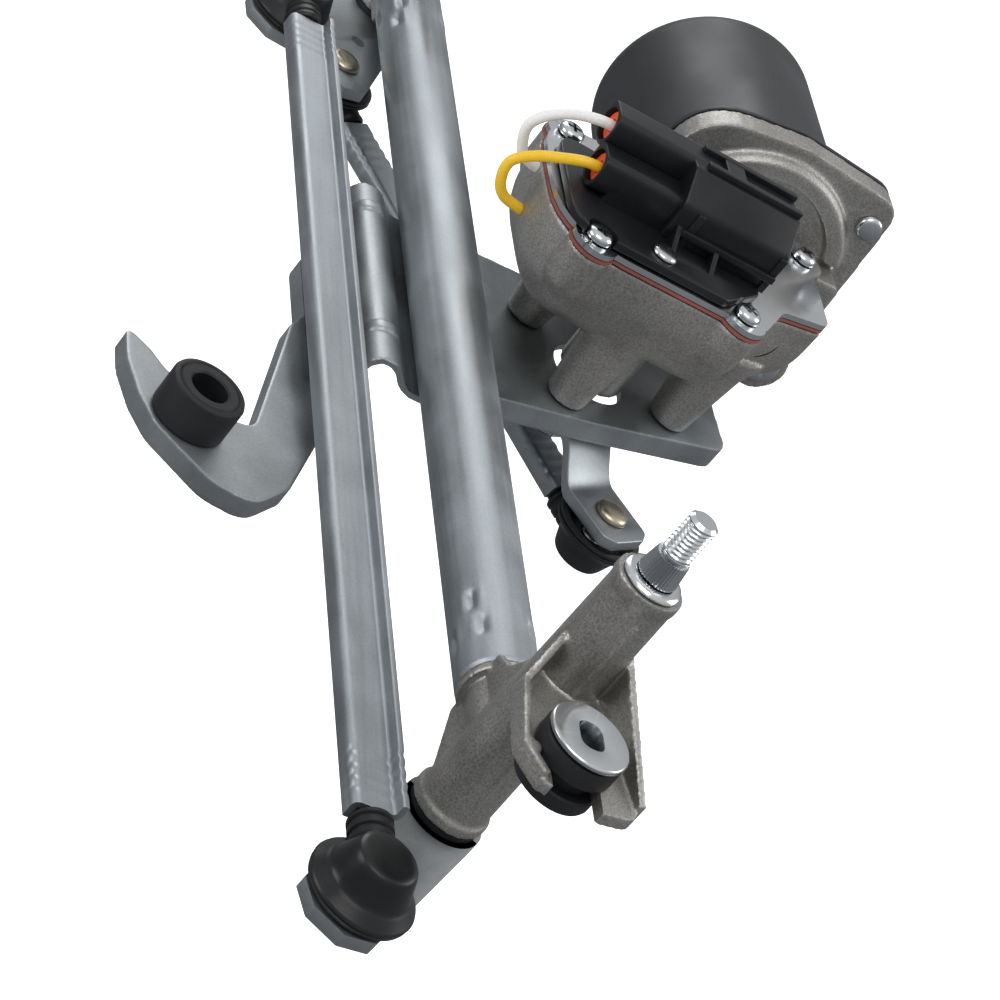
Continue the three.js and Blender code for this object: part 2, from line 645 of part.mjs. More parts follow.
function gearCase() {
  const outline = caseOutline();
  const bowl = [[0, 30, CASE.top], [4.5, 20, 31], [12, CASE.floor, 21]]
    .map(([inwards, low, high]) => slab(roundedShape(inset(outline, inwards)), low, high));
  const legs = FEET.map(([x, y]) => turned([
    [0, PLATE_TOP + GAP], [6.6, PLATE_TOP + GAP], [8.4, 0], [9.6, CASE.floor + 2], [9.6, CASE.floor + 9],
    [0, CASE.floor + 9],
  ]).translate(x, y, 0));
  const boss = rod(11, PLATE_TOP + 1, CASE.floor + 2).translate(OUTPUT.x, OUTPUT.y, 0);
  const neck = common(
    alongX(rod(33, 231, YOKE.face + 1, FINE)).translate(0, WORM_Y, WORM.z),
    block(210, 250, -130, -50, 0, CASE.top),
  );
  const flange = endSlab(roundedShape(yokeOutline()), YOKE.face, YOKE.back - GAP, 4);
  const ear = alongX(rod(9.5, 226, YOKE.face + 1)).translate(0, YOKE_SCREW.y, YOKE_SCREW.z);
  return join(...bowl, ...legs, boss, neck, flange, ear);
}

function gearCaseHollows() {
  const gearRoom = rod(GEAR.radius + 1.4, GEAR.bottom - 1.5, CASE.top + 5, FINE)
    .translate(OUTPUT.x, OUTPUT.y, 0);
  const switchRoom = slab(
    roundedShape([[180, -12, 6], [180, -30, 6], [220, -30, 6], [220, -12, 6]]), 22, CASE.top + 5);
  const shaftBore = rod(6.4, -30, 40).translate(OUTPUT.x, OUTPUT.y, 0);
  const wormRoom = alongX(rod(7.4, WORM.from - 6, 240)).translate(0, WORM_Y, WORM.z);
  const wormSlot = block(WORM.from - 3, WORM.to + 4, WORM_Y, WORM_Y + 12, WORM.z - 6, WORM.z + 6);
  const brushRoom = alongX(rod(YOKE.cavity, YOKE.face, YOKE.back + 3, FINE)).translate(0, WORM_Y, WORM.z);
  const feet = FEET.map(([x, y]) => rod(3.2, -30, 4, SMALL).translate(x, y, 0));
  const screws = SCREW_SPOTS.map(([x, y]) => rod(2.3, 31.5, CASE.top + 5, SMALL).translate(x, y, 0));
  const yoke = [YOKE_SCREW, YOKE_RIVET]
    .map(({ y, z }) => alongX(rod(2.8, 220, 260, SMALL)).translate(0, y, z));
  return [gearRoom, switchRoom, shaftBore, wormRoom, wormSlot, brushRoom, ...feet, ...screws, ...yoke];
}

function buildCover() {
  const gasketBottom = CASE.top + GAP;
  const coverBottom = gasketBottom + COVER.gasket + GAP;
  const outline = roundedShape(caseOutline());
  const holes = SCREW_SPOTS.map(([x, y]) => rod(2.4, 30, 60, SMALL).translate(x, y, 0));
  const window = slab(roundedShape(inset(caseOutline(), 7)), 30, 60);
  add(assembly, 'cover_gasket',
    cut(slab(outline, gasketBottom, gasketBottom + COVER.gasket), window, ...holes), GASKET_RED);
  const rivetHole = rod(2.2, 30, 60, SMALL).translate(CONNECTOR.rivetX, CONNECTOR.rivetY, 0);
  add(assembly, 'gearbox_cover',
    cut(slab(outline, coverBottom, coverBottom + COVER.thickness), ...holes, rivetHole), BRIGHT);
}

function motorCan() {
  const { radius, wall, length, dome } = CAN;
  const inner = radius - wall;
  const outside = [[radius, 0], [radius, length - dome]];
  const insideEdge = [[inner, 0]];
  const steps = 4;
  for (let i = 1; i <= steps; i += 1) {
    const angle = (i / steps) * 90 * DEG;
    outside.push([radius - dome + dome * Math.cos(angle), length - dome + dome * Math.sin(angle)]);
  }
  for (let i = 0; i <= steps; i += 1) {
    const angle = (i / steps) * 90 * DEG;
    const bend = dome - wall;
    insideEdge.push([radius - dome + bend * Math.cos(angle), length - dome + bend * Math.sin(angle)]);
  }
  const boss = [[10, length], [9, length + 5], [0, length + 5]];
  const bearing = [[0, length + 3.2], [5, length + 3.2], [5, length - wall]];
  const profile = [...outside, ...boss, ...bearing, ...insideEdge.reverse(), outside[0]];
  const rim = endSlab(roundedShape(yokeOutline()), 0, YOKE.plate, 4).translate(0, -WORM_Y, -WORM.z);
  const opening = alongX(rod(inner, -1, 5, CAN.sides));
  return join(alongX(turned(profile, CAN.sides)), cut(rim, opening));
}

function magnet() {
  const outer = 33.9;
  const innerRadius = 28.9;
  const half = 66 * DEG;
  const shape = new THREE.Shape();
  shape.absarc(0, 0, outer, -half, half, false);
  shape.absarc(0, 0, innerRadius, half, -half, true);
  return endSlab(shape, 0, 46, 7);
}

function wormGear() {
  const { radius, depth, teeth, bottom, top } = GEAR;
  const points = [];
  for (let i = 0; i < teeth; i += 1) {
    const pitch = 360 / teeth;
    const tooth = [[radius - depth, -0.3], [radius, -0.12], [radius, 0.12], [radius - depth, 0.3]];
    for (const [r, share] of tooth) {
      points.push(polar(r, (i + share) * pitch));
    }
  }
  const disc = slab(new THREE.Shape(points), bottom, top - 4);
  const hub = rod(10, bottom, top);
  return cut(join(disc, hub), rod(6.2, 0, 60));
}

function outputShaft() {
  const hubBottom = CRANK.hubTop - CRANK.thickness;
  return turned([
    [0, hubBottom - 9], [3.6, hubBottom - 9], [4.2, hubBottom - 8.2], [4.2, hubBottom], [4.2, CRANK.hubTop],
    [5.9, CRANK.hubTop + GAP], [5.9, GEAR.top + 1.2], [5, GEAR.top + 1.8], [0, GEAR.top + 1.8],
  ]);
}

// The worm is turned on the armature shaft: its thread height follows the angle less the lead.
function wormThread() {
  const { root, crest, from, to, pitch } = WORM;
  const around = 6;
  const slices = 28;
  const positions = [];
  const index = [];
  const length = to - from;
  for (let s = 0; s <= slices; s += 1) {
    const x = (s / slices) * length;
    const fade = Math.min(1, s / 3, (slices - s) / 3);
    for (let a = 0; a < around; a += 1) {
      const angle = (a / around) * 2 * Math.PI;
      const wave = 0.5 + 0.5 * Math.cos(angle - (2 * Math.PI * x) / pitch);
      const r = root + 0.3 + (crest - root - 0.3) * wave * fade;
      positions.push(x, r * Math.cos(angle), r * Math.sin(angle));
    }
  }
  const startCentre = positions.push(0, 0, 0) / 3 - 1;
  const endCentre = positions.push(length, 0, 0) / 3 - 1;
  for (let a = 0; a < around; a += 1) {
    const b = (a + 1) % around;
    index.push(startCentre, b, a);
    index.push(endCentre, slices * around + a, slices * around + b);
    for (let s = 0; s < slices; s += 1) {
      const [p, q] = [s * around + a, s * around + b];
      index.push(p, q, q + around, p, q + around, p + around);
    }
  }
  const geometry = new THREE.BufferGeometry();
  geometry.setAttribute('position', new THREE.Float32BufferAttribute(positions, 3));
  geometry.setIndex(index);
  return geometry.translate(from, 0, 0);
}

function armatureCore(from, to) {
  const slots = 12;
  const shape = [];
  for (let i = 0; i < slots; i += 1) {
    const pitch = 360 / slots;
    for (const [r, share] of [[28.1, -0.42], [28.1, 0.42], [17, 0.42], [17, 0.58]]) {
      shape.push(polar(r, (i + share) * pitch));
    }
  }
  const shaft = alongX(rod(4.3, from - 2, to + 2, SMALL));
  return cut(endSlab(new THREE.Shape(shape), from, to), shaft);
}

function buildArmature() {
  const group = groupAt(0, WORM_Y, WORM.z);
  const rear = CAN.from + CAN.length + 2.4;
  add(group, 'armature_shaft', join(alongX(rod(4, WORM.from - 5, rear, SMALL)), wormThread()), BRIGHT);
  add(group, 'armature_core', armatureCore(CAN.from + 16, CAN.from + 58), COPPER);
  add(group, 'commutator', alongX(pipe(9.6, 4.3, YOKE.face + 5, CAN.from + 13)), COPPER);
}

function buildMotor() {
  add(assembly, 'gearbox_housing', cut(gearCase(), ...gearCaseHollows()), CASTING);
  buildCover();
  const axis = groupAt(0, WORM_Y, WORM.z);
  add(axis, 'motor_can', motorCan(), BLACK_PAINT).position.x = CAN.from;
  for (const [name, turn] of [['magnet_upper', 0], ['magnet_lower', Math.PI]]) {
    const piece = add(axis, name, magnet(), FERRITE);
    piece.position.x = CAN.from + 14;
    piece.rotation.x = turn + Math.PI / 2;
  }
  add(axis, 'brush_card', alongX(pipe(29.6, 12, YOKE.face + 0.6, YOKE.face + 3.4, FINE)), BLACK_PLASTIC);
  buildArmature();
  const gearGroup = groupAt(OUTPUT.x, OUTPUT.y, 0);
  add(gearGroup, 'worm_gear', wormGear(), GEAR_PLASTIC);
  add(gearGroup, 'output_shaft', outputShaft(), BRIGHT);
}

// ---------------------------------------------------------------------------------------------
// Fasteners
// ---------------------------------------------------------------------------------------------
// A screw with a cross recess: its head is above z = 0, and its shank goes down.
function crossScrew(headRadius, headHeight, shankRadius, length, segments = SMALL) {
  const body = turned([
    [0, -length], [shankRadius, -length], [shankRadius, GAP], [headRadius, GAP],
    [headRadius, headHeight * 0.5], [headRadius * 0.72, headHeight], [0, headHeight],
  ], segments);
  const arm = headRadius * 0.55;
  const width = headRadius * 0.14;
  const low = headHeight * 0.35;
  const high = headHeight + 1;
  return cut(body, block(-arm, arm, -width, width, low, high), block(-width, width, -arm, arm, low, high));
}

function hexBolt(acrossCorners, headHeight, shankRadius, length) {
  const head = rod(acrossCorners, GAP, headHeight, 6);
  const washer = rod(acrossCorners * 1.12, GAP, 1.5);
  return join(head, washer, rod(shankRadius, -length, 1, SMALL));
}

function buildFasteners() {
  const coverTop = CASE.top + 2 * GAP + COVER.gasket + COVER.thickness;
  SCREW_SPOTS.forEach(([x, y], i) => {
    const screw = add(groupAt(x, y, coverTop), `cover_screw_${i + 1}`, crossScrew(4.3, 3, 2, 12), BRIGHT);
    screw.rotation.z = (i * 34 + 18) * DEG;
  });
  FEET.forEach(([x, y], i) => {
    const bolt = groupAt(x, y, PLATE_TOP - SHEET);
    bolt.rotation.x = Math.PI;
    add(bolt, `mount_bolt_${i + 1}`, hexBolt(5.2, 4.4, 2.9, 15), BRIGHT);
  });
  const screw = groupAt(226, YOKE_SCREW.y, YOKE_SCREW.z);
  screw.rotation.y = -Math.PI / 2;
  add(screw, 'yoke_screw', crossScrew(6.6, 2, 2.5, 18, MEDIUM), BRIGHT).rotation.z = 40 * DEG;
  const stud = groupAt(YOKE.face, YOKE_RIVET.y, YOKE_RIVET.z);
  stud.rotation.y = -Math.PI / 2;
  add(stud, 'yoke_rivet', turned([
    [0, -8], [2.5, -8], [2.5, GAP], [4.3, GAP], [4.3, 1.2], [3.2, 2.2], [0, 2.2],
  ]), BRIGHT);
}

// ---------------------------------------------------------------------------------------------
// Connector and leads
// ---------------------------------------------------------------------------------------------
const CONNECTOR = { x0: 188, x1: 214, mouthY: -80, wireY: -15.5, top: 69, rivetX: 178.5, rivetY: -42 };
const BARRELS = [{ x: 206.5, z: 63.2 }, { x: 196, z: 54.8 }];

function connectorBody() {
  const base = CASE.top + 3 * GAP + COVER.gasket + COVER.thickness;
  const { x0, x1, mouthY, wireY, top, rivetX, rivetY } = CONNECTOR;
  const foot = slab(roundedShape([
    [172, -10, 12], [171.5, -64, 4], [184, -78, 4], [x1, -78, 3], [x1 + 4, -10, 8],
  ]), base, base + 2.8);
  const shell = sideSlab(roundedShape([
    [x0, base + 1, 3], [x1, base + 1, 3], [x1, top, 3], [x0 + 9, top, 3], [x0, top - 8, 4],
  ]), mouthY, -42);
  const barrels = BARRELS.map(({ x, z }) => alongY(rod(6.6, -46, wireY)).translate(x, 0, z));
  const tail = block(x0 + 2, x1 - 4, -46, wireY - 6, base + 1, 56);
  const keys = [[x0 + 12, top], [x1 - 5, top]]
    .map(([x, z]) => block(x - 1.2, x + 1.2, mouthY, -46, z - 1, z + 1.8));
  const sideKey = block(x0 - 1.8, x0 + 1, mouthY, -46, 52, 54.4);
  const body = join(foot, shell, tail, ...barrels, ...keys, sideKey);
  const mouth = sideSlab(roundedShape([
    [x0 + 2, base + 4, 2], [x1 - 2, base + 4, 2], [x1 - 2, top - 2, 2], [x0 + 10, top - 2, 2],
    [x0 + 2, top - 9.5, 3],
  ]), mouthY - 2, mouthY + 17);
  const seats = BARRELS.map(({ x, z }) => alongY(rod(5.1, wireY - 9, wireY + 2, SMALL)).translate(x, 0, z));
  const screwRoom = SCREW_SPOTS.map(([x, y]) => rod(5, 30, 60).translate(x, y, 0));
  return cut(body, mouth, ...seats, ...screwRoom, rod(2.2, 30, 60, SMALL).translate(rivetX, rivetY, 0));
}

function terminals() {
  const { mouthY } = CONNECTOR;
  const rows = [[196, 53.5], [201.5, 53.5], [207, 53.5], [201.5, 59], [207, 59]];
  const pins = rows.map(([x, z]) => block(x - 0.5, x + 0.5, mouthY + 5, mouthY + 16, z - 1.2, z + 1.2));
  const carrier = block(194, 209, mouthY + 15, mouthY + 16.7, 51, 61);
  return join(carrier, ...pins);
}

function wireSeal({ x, z }) {
  const outer = 4.8;
  const face = CONNECTOR.wireY;
  const body = turned([
    [2, face - 7], [outer, face - 7], [outer, face - 1.5], [2, face - 1.5], [2, face - 7],
  ], SMALL);
  return alongY(body).translate(x, 0, z);
}

function lead(points) {
  const curve = new THREE.CatmullRomCurve3(points.map((p) => new THREE.Vector3(...p)), false, 'centripetal');
  return new THREE.ExtrudeGeometry(circleShape(0, 0, 1.65), {
    steps: 24, bevelEnabled: false, extrudePath: curve, curveSegments: 4,
  });
}

function buildConnector() {
  add(assembly, 'connector_housing', connectorBody(), BLACK_PLASTIC);
  add(assembly, 'connector_terminals', terminals(), BRONZE);
  BARRELS.forEach((spot, i) => add(assembly, `wire_seal_${i + 1}`, wireSeal(spot), SEAL_ORANGE));
  const [upper, lower] = BARRELS;
  add(assembly, 'wire_white', lead([
    [upper.x, -20, upper.z], [upper.x, -13, upper.z - 0.4], [upper.x + 1, -6, upper.z - 3],
    [upper.x + 1.5, 0, upper.z - 7.5], [upper.x + 2, 2.8, upper.z - 13], [upper.x + 2, 1.2, upper.z - 18.6],
    [upper.x + 1.6, -2.2, upper.z - 22.6], [upper.x + 1.5, -4.2, upper.z - 23.2],
  ]), WIRE_WHITE);
  add(assembly, 'wire_yellow', lead([
    [lower.x, -20, lower.z], [lower.x, -13, lower.z - 0.6], [lower.x + 1.5, -7, lower.z - 3.8],
    [lower.x + 3, -0.5, lower.z - 8], [lower.x + 4, 4, lower.z - 13.4], [lower.x + 4, 3.2, lower.z - 19.6],
    [lower.x + 4, -1, lower.z - 24.4], [lower.x + 4, -4.3, lower.z - 25.2],
  ]), WIRE_YELLOW);
  const base = CASE.top + 3 * GAP + COVER.gasket + COVER.thickness + 2.8;
  add(groupAt(CONNECTOR.rivetX, CONNECTOR.rivetY, base), 'connector_rivet', turned([
    [0, -4.4], [1.9, -4.4], [1.9, GAP], [4.2, GAP], [4.2, 0.9], [3.2, 1.6], [0, 1.6],
  ]), BRIGHT);
}

// ---------------------------------------------------------------------------------------------
// Crank
// ---------------------------------------------------------------------------------------------
function crankArm() {
  const { radius, half, thickness, hubTop, endTop } = CRANK;
  const end = radius + 11;
  const side = bandShape([
    [-14, hubTop - thickness / 2], [12, hubTop - thickness / 2],
    [27, endTop - thickness / 2], [end + 4, endTop - thickness / 2],
  ], thickness);
  const plan = roundedShape([
    [-11.5, -half, 10], [end - 3, -half, 3], [end, -half + 4, 2],
    [end, half - 4, 2], [end - 3, half, 3], [-11.5, half, 10],
  ]);
  const body = common(sideSlab(side, -half - 2, half + 2), slab(plan, endTop - 20, hubTop + 10));
  const holes = [rod(4.5, -60, 0, SMALL), rod(STUD.hole, -60, 0, SMALL).translate(radius, 0, 0)];
  return cut(body, ...holes);
}

function buildCrank() {
  const group = groupAt(OUTPUT.x, OUTPUT.y, 0);
  const arm = add(group, 'crank_arm', crankArm(), ZINC);
  arm.rotation.z = Math.atan2(-PARK_LINE.y, -PARK_LINE.x);
  const nutTop = CRANK.hubTop - CRANK.thickness - GAP;
  const hexAndWasher = join(rod(7.6, nutTop - 6.4, nutTop - 1, 6), rod(8.6, nutTop - 1.4, nutTop));
  const nut = cut(hexAndWasher, rod(4.5, -60, 0, SMALL));
  add(group, 'crank_nut', nut, BRIGHT);
  const rivet = upsideDown(loneRivet(CRANK.thickness));
  add(groupAt(CRANK.ballX, CRANK.ballY, CRANK.endTop - CRANK.thickness), 'crank_rivet', rivet, BRIGHT);
}

buildTube();
buildPivot('near', NEAR);
buildPivot('far', FAR);
buildLevers();
buildRods();
buildBracket();
buildMotor();
buildConnector();
buildFasteners();
buildCrank();

export default assembly;
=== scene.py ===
import json
import math

import bmesh
import bpy
from mathutils import Matrix, Vector


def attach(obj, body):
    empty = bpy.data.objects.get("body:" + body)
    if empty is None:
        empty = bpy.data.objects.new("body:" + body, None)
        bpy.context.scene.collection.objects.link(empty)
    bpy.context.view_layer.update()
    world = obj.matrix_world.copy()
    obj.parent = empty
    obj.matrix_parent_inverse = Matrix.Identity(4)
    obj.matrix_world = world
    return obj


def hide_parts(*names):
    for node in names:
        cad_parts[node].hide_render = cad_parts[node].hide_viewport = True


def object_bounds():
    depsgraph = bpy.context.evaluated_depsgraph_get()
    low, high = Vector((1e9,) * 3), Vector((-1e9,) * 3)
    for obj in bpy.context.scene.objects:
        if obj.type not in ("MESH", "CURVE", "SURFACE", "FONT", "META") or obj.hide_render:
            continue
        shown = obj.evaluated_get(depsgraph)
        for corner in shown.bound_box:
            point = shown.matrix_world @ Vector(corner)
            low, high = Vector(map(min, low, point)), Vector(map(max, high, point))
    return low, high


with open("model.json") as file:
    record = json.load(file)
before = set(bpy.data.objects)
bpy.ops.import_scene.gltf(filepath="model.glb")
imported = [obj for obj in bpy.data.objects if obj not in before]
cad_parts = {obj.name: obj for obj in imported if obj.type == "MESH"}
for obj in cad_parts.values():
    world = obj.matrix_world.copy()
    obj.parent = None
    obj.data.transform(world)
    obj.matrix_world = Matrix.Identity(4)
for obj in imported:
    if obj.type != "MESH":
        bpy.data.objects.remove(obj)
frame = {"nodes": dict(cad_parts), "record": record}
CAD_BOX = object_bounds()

# Lengths are in millimetres and become metres in make_mesh. The frame is the CAD frame: +Z up along
# the wiper shafts, +X from the near pivot to the far pivot, levers on the +Y side, motor on -Y.
MM = 0.001
GAP = 0.3
QUARTER = math.pi / 2
RECORD = frame["record"]
BODY_OF = {node: body for body, nodes in RECORD["behaviour"]["bodies"].items() for node in nodes}

PIVOT_SPACING = 367
TUBE_OUTER, TUBE_INNER, TUBE_INSET = 11, 9.2, 18.8
NEAR = {"x": 0, "ring": -24.5, "top": 60.5, "way": 1}
FAR = {"x": PIVOT_SPACING, "ring": -12, "top": 73, "way": -1}
LUG_X, LUG_Y, LUG_BOTTOM, LUG_TOP, LUG_WALL = -30.8, 3.3, 23.4, 27, 2.2
MOUNT_HOLE, LUG_MOUTH = 8.1, 7
GROMMET_FLANGE, GROMMET_SNAP, GROMMET_NECK, GROMMET_BORE = 10.9, 9.2, 7.8, 5.5
GROMMET_UP, GROMMET_DOWN = 6.2, 5.2
TAPER, THREAD_PITCH, TAPER_TEETH = 6.5, 1.25, 36
LEVER_THICK, LEVER_HALF, LEVER_BELOW, LEVER_END = 4, 11.5, 2.5, 14.5
SHAFT_HOLE, BALL_HOLE = 4.3, 4.2
# Each ball's distance from its pivot and its heading in degrees.
NEAR_BALL, FAR_LONG, FAR_SHORT = (50, 145.3), (52.5, 134), (51.2, 159.9)
STUD_HEIGHT, RIVET_TOP, BALL_RADIUS = 7.5, -0.1, 5.5
CRANK_RADIUS, CRANK_X, CRANK_Y, CRANK_HALF = 37, 172, -82, 10.5
CRANK_THICK, CRANK_HUB, CRANK_END = 4, -22, -34
ROD_WEB, ROD_HALF, ROD_UNDER, ROD_UP, ROD_DOWN, ROD_START = 1.8, 6.6, 2.2, 3.8, 4.2, 17.6
SOCKET_NECK = 8.5
SHEET, PLATE_TOP, FLANGE_BOTTOM = 2.2, -11.4, -19.4
ARM_TOP, ARM_X, ARM_Y, ARM_RIM = -20.5, 102, 76, 4.5
CASE_FLOOR, CASE_TOP = 11, 42
GASKET, COVER_THICK, SCREW_HOLE, RIVET_HOLE = 1, 1.8, 2.4, 2.2
WORM_OFFSET, WORM_Z = 29.2, 33
YOKE_FACE, YOKE_BACK = 238, 247
CAN_RADIUS, CAN_WALL, CAN_FROM, CAN_LENGTH, CAN_DOME, CAN_RIM = 36.2, 1.8, 247.3, 76, 13, 1.7
FEET = [(218, -39.5), (184.5, -50), (200, -90.5)]
SCREWS = [(174, -20), (173.5, -73), (225, -17), (226, -105)]
YOKE_SCREW, YOKE_RIVET, EAR_FROM = (-118.7, 6.6), (-122.6, 60), 226
BARRELS = [(206.5, 63.2), (196, 54.8)]
RIVET_SPOT = (178.5, -42)
WIRE_RADIUS = 1.65


# --- Meshes ---
def placed(name, data):
    """A new object of this data, in the scene."""
    obj = bpy.data.objects.new(name, data)
    bpy.context.scene.collection.objects.link(obj)
    return obj


def make_mesh(name, vertices, faces):
    mesh = bpy.data.meshes.new(name)
    mesh.from_pydata([(x * MM, y * MM, z * MM) for x, y, z in vertices], [], faces)
    work = bmesh.new()
    work.from_mesh(mesh)
    bmesh.ops.remove_doubles(work, verts=work.verts, dist=1e-7)
    bmesh.ops.recalc_face_normals(work, faces=work.faces)
    work.to_mesh(mesh)
    work.free()
    return placed(name, mesh)


def strip(a, b, count):
    """The faces between two rings of count vertices, which start at vertices a and b."""
    return [(a + k, a + (k + 1) % count, b + (k + 1) % count, b + k) for k in range(count)]


def stitched(rings, sides):
    """The faces between rings of (first vertex, vertex count) in a closed loop. A count of 1 is a pole."""
    faces = []
    for (a, count_a), (b, count_b) in zip(rings, rings[1:] + rings[:1]):
        if count_a == 1 and count_b == 1:
            continue
        if count_a == 1:
            faces += [(a, b + (k + 1) % sides, b + k) for k in range(sides)]
        elif count_b == 1:
            faces += [(a + k, a + (k + 1) % sides, b) for k in range(sides)]
        else:
            faces += strip(a, b, sides)
    return faces


def capped(name, vertices, count):
    """A mesh of rings of count vertices, joined in order and closed at both ends."""
    last = len(vertices) - count
    faces = [face for start in range(0, last, count) for face in strip(start, start + count, count)]
    faces += [tuple(range(count)), tuple(range(last, last + count))]
    return make_mesh(name, vertices, faces)


def turned(profile, sides=72):
    """A closed [radius, z] profile turned about Z. Points at radius 0 become poles."""
    vertices, rings = [], []
    for r, z in profile:
        start = len(vertices)
        count = sides if r > 1e-6 else 1
        for k in range(count):
            angle = 2 * math.pi * k / sides
            vertices.append((r * math.cos(angle), r * math.sin(angle), z))
        rings.append((start, count))
    return make_mesh("turned", vertices, stitched(rings, sides))


def rod(radius, z0, z1, sides=64):
    return turned([(0, z0), (radius, z0), (radius, z1), (0, z1)], sides)


def rods_at(places, radius, z0, z1, sides=32):
    return [move(rod(radius, z0, z1, sides), x, y) for x, y in places]


def prism(points, z0, z1):
    count = len(points)
    vertices = [(x, y, z0) for x, y in points] + [(x, y, z1) for x, y in points]
    faces = [tuple(range(count))[::-1], tuple(range(count, 2 * count))]
    return make_mesh("prism", vertices, faces + strip(0, count, count))


def loft(corners, profile):
    """A body whose outline is drawn in by each [inset, z] of the profile, from its floor to its top."""
    vertices = []
    for inwards, z in profile:
        drawn_in = [(x, y, max(radius, 2)) for x, y, radius in inset(corners, inwards)]
        vertices += [(x, y, z) for x, y in rounded(drawn_in)]
    return capped("loft", vertices, len(vertices) // len(profile))


def arc(radius, start, end, steps, x=0, z=0):
    """Points along an arc about (x, z), from one angle in radians to another."""
    angles = [start + (end - start) * i / steps for i in range(steps + 1)]
    return [(x + radius * math.cos(a), z + radius * math.sin(a)) for a in angles]


def block(x0, x1, y0, y1, z0, z1):
    return prism([(x0, y0), (x1, y0), (x1, y1), (x0, y1)], z0, z1)


def rounded(corners, steps=7):
    """A polygon of (x, y) or (x, y, corner radius) with its corners rounded."""
    points = []
    for i, corner in enumerate(corners):
        x, y = corner[0], corner[1]
        radius = corner[2] if len(corner) > 2 else 0
        here = Vector((x, y))
        back = Vector(corners[i - 1][:2]) - here
        on = Vector(corners[(i + 1) % len(corners)][:2]) - here
        half = back.angle(on) / 2
        reach = min(radius / math.tan(half), back.length * 0.49, on.length * 0.49)
        if reach < 1e-6:
            points.append((x, y))
            continue
        enter, leave = here + back.normalized() * reach, here + on.normalized() * reach
        for k in range(steps + 1):
            t = k / steps
            p = enter * (1 - t) ** 2 + here * (2 * t * (1 - t)) + leave * t ** 2
            points.append((p.x, p.y))
    return points


def inset(corners, distance):
    """The same corners moved inwards, with their radii made smaller to suit."""
    area = sum(corners[i - 1][0] * c[1] - c[0] * corners[i - 1][1] for i, c in enumerate(corners))
    side = math.copysign(distance, area)
    result = []
    for i, corner in enumerate(corners):
        here = Vector(corner[:2])
        a = (here - Vector(corners[i - 1][:2])).normalized()
        b = (Vector(corners[(i + 1) % len(corners)][:2]) - here).normalized()
        turn = a.x * b.y - a.y * b.x
        along = 0 if abs(turn) < 1e-6 else (1 - a.dot(b)) / turn
        moved = here + Vector((-a.y, a.x)) * side - a * side * along
        radius = corner[2] if len(corner) > 2 else 0
        result.append((moved.x, moved.y, max(radius - distance, 0)))
    return result


def band(points, thickness):
    """The outline of a strip of even thickness along a 2-D path."""
    left, right = [], []
    for i, point in enumerate(points):
        here = Vector(point)
        before = here - Vector(points[max(i - 1, 0)])
        after = Vector(points[min(i + 1, len(points) - 1)]) - here
        way = (before.normalized() + after.normalized()).normalized()
        offset = Vector((-way.y, way.x)) * thickness / 2
        left.append(tuple(here + offset))
        right.append(tuple(here - offset))
    return left + right[::-1]


def smooth_path(points, steps=6):
    """A Catmull-Rom curve through 2-D or 3-D points."""
    result = []
    padded = [points[0]] + list(points) + [points[-1]]
    for i in range(1, len(padded) - 2):
        p0, p1, p2, p3 = (Vector(p) for p in padded[i - 1:i + 3])
        for k in range(steps):
            t = k / steps
            point = 0.5 * (2 * p1 + (p2 - p0) * t + (2 * p0 - 5 * p1 + 4 * p2 - p3) * t ** 2
                           + (3 * p1 - p0 - 3 * p2 + p3) * t ** 3)
            result.append(tuple(point))
    return result + [tuple(points[-1])]


def move(obj, x=0, y=0, z=0):
    obj.data.transform(Matrix.Translation((x * MM, y * MM, z * MM)))
    return obj


def turn(obj, degrees, axis):
    obj.data.transform(Matrix.Rotation(math.radians(degrees), 4, axis))
    return obj


def aim(obj, way):
    """Turns a piece that lies along +X to point the given way."""
    turn(obj, -math.degrees(math.atan2(way.z, way.xy.length)), "Y")
    return turn(obj, math.degrees(math.atan2(way.y, way.x)), "Z")


def along_x(obj):
    return turn(obj, 90, "Y")


def along_y(obj):
    return turn(obj, -90, "X")


def side_slab(points, y0, y1):
    """A slab from y0 to y1 with its outline given as (x, z)."""
    return move(turn(prism(points, 0, y1 - y0), 90, "X"), y=y1)


def end_slab(points, x0, x1):
    """A slab from x0 to x1 with its outline given as (y, z)."""
    return move(turn(turn(prism(points, 0, x1 - x0), 90, "X"), 90, "Z"), x=x0)


def mirror_x(obj):
    obj.data.transform(Matrix.Scale(-1, 4, (1, 0, 0)))
    obj.data.flip_normals()
    return obj


def sweep(points, radius, sides=20):
    """A round tube along 3-D points, with its frame carried along the path."""
    path = [Vector(p) for p in points]
    vertices = []
    side = Vector((1, 0, 0))
    for i, here in enumerate(path):
        way = (path[min(i + 1, len(path) - 1)] - path[max(i - 1, 0)]).normalized()
        side = (side - way * side.dot(way)).normalized()
        up = way.cross(side)
        for k in range(sides):
            angle = 2 * math.pi * k / sides
            vertices.append(tuple(here + (side * math.cos(angle) + up * math.sin(angle)) * radius))
    return capped("sweep", vertices, sides)


def drop(obj):
    mesh = obj.data
    bpy.data.objects.remove(obj, do_unlink=True)
    bpy.data.meshes.remove(mesh)


def apply_modifiers(obj):
    graph = bpy.context.evaluated_depsgraph_get()
    mesh = bpy.data.meshes.new_from_object(obj.evaluated_get(graph), depsgraph=graph)
    old = obj.data
    obj.modifiers.clear()
    obj.data = mesh
    bpy.data.meshes.remove(old)
    return obj


def boolean(obj, operation, others):
    for other in others:
        change = obj.modifiers.new("boolean", "BOOLEAN")
        change.operation = operation
        change.solver = "EXACT"
        change.object = other
        apply_modifiers(obj)
        drop(other)
    return obj


def cut(obj, *tools):
    return boolean(obj, "DIFFERENCE", tools)


def fuse(obj, *others):
    return boolean(obj, "UNION", others)


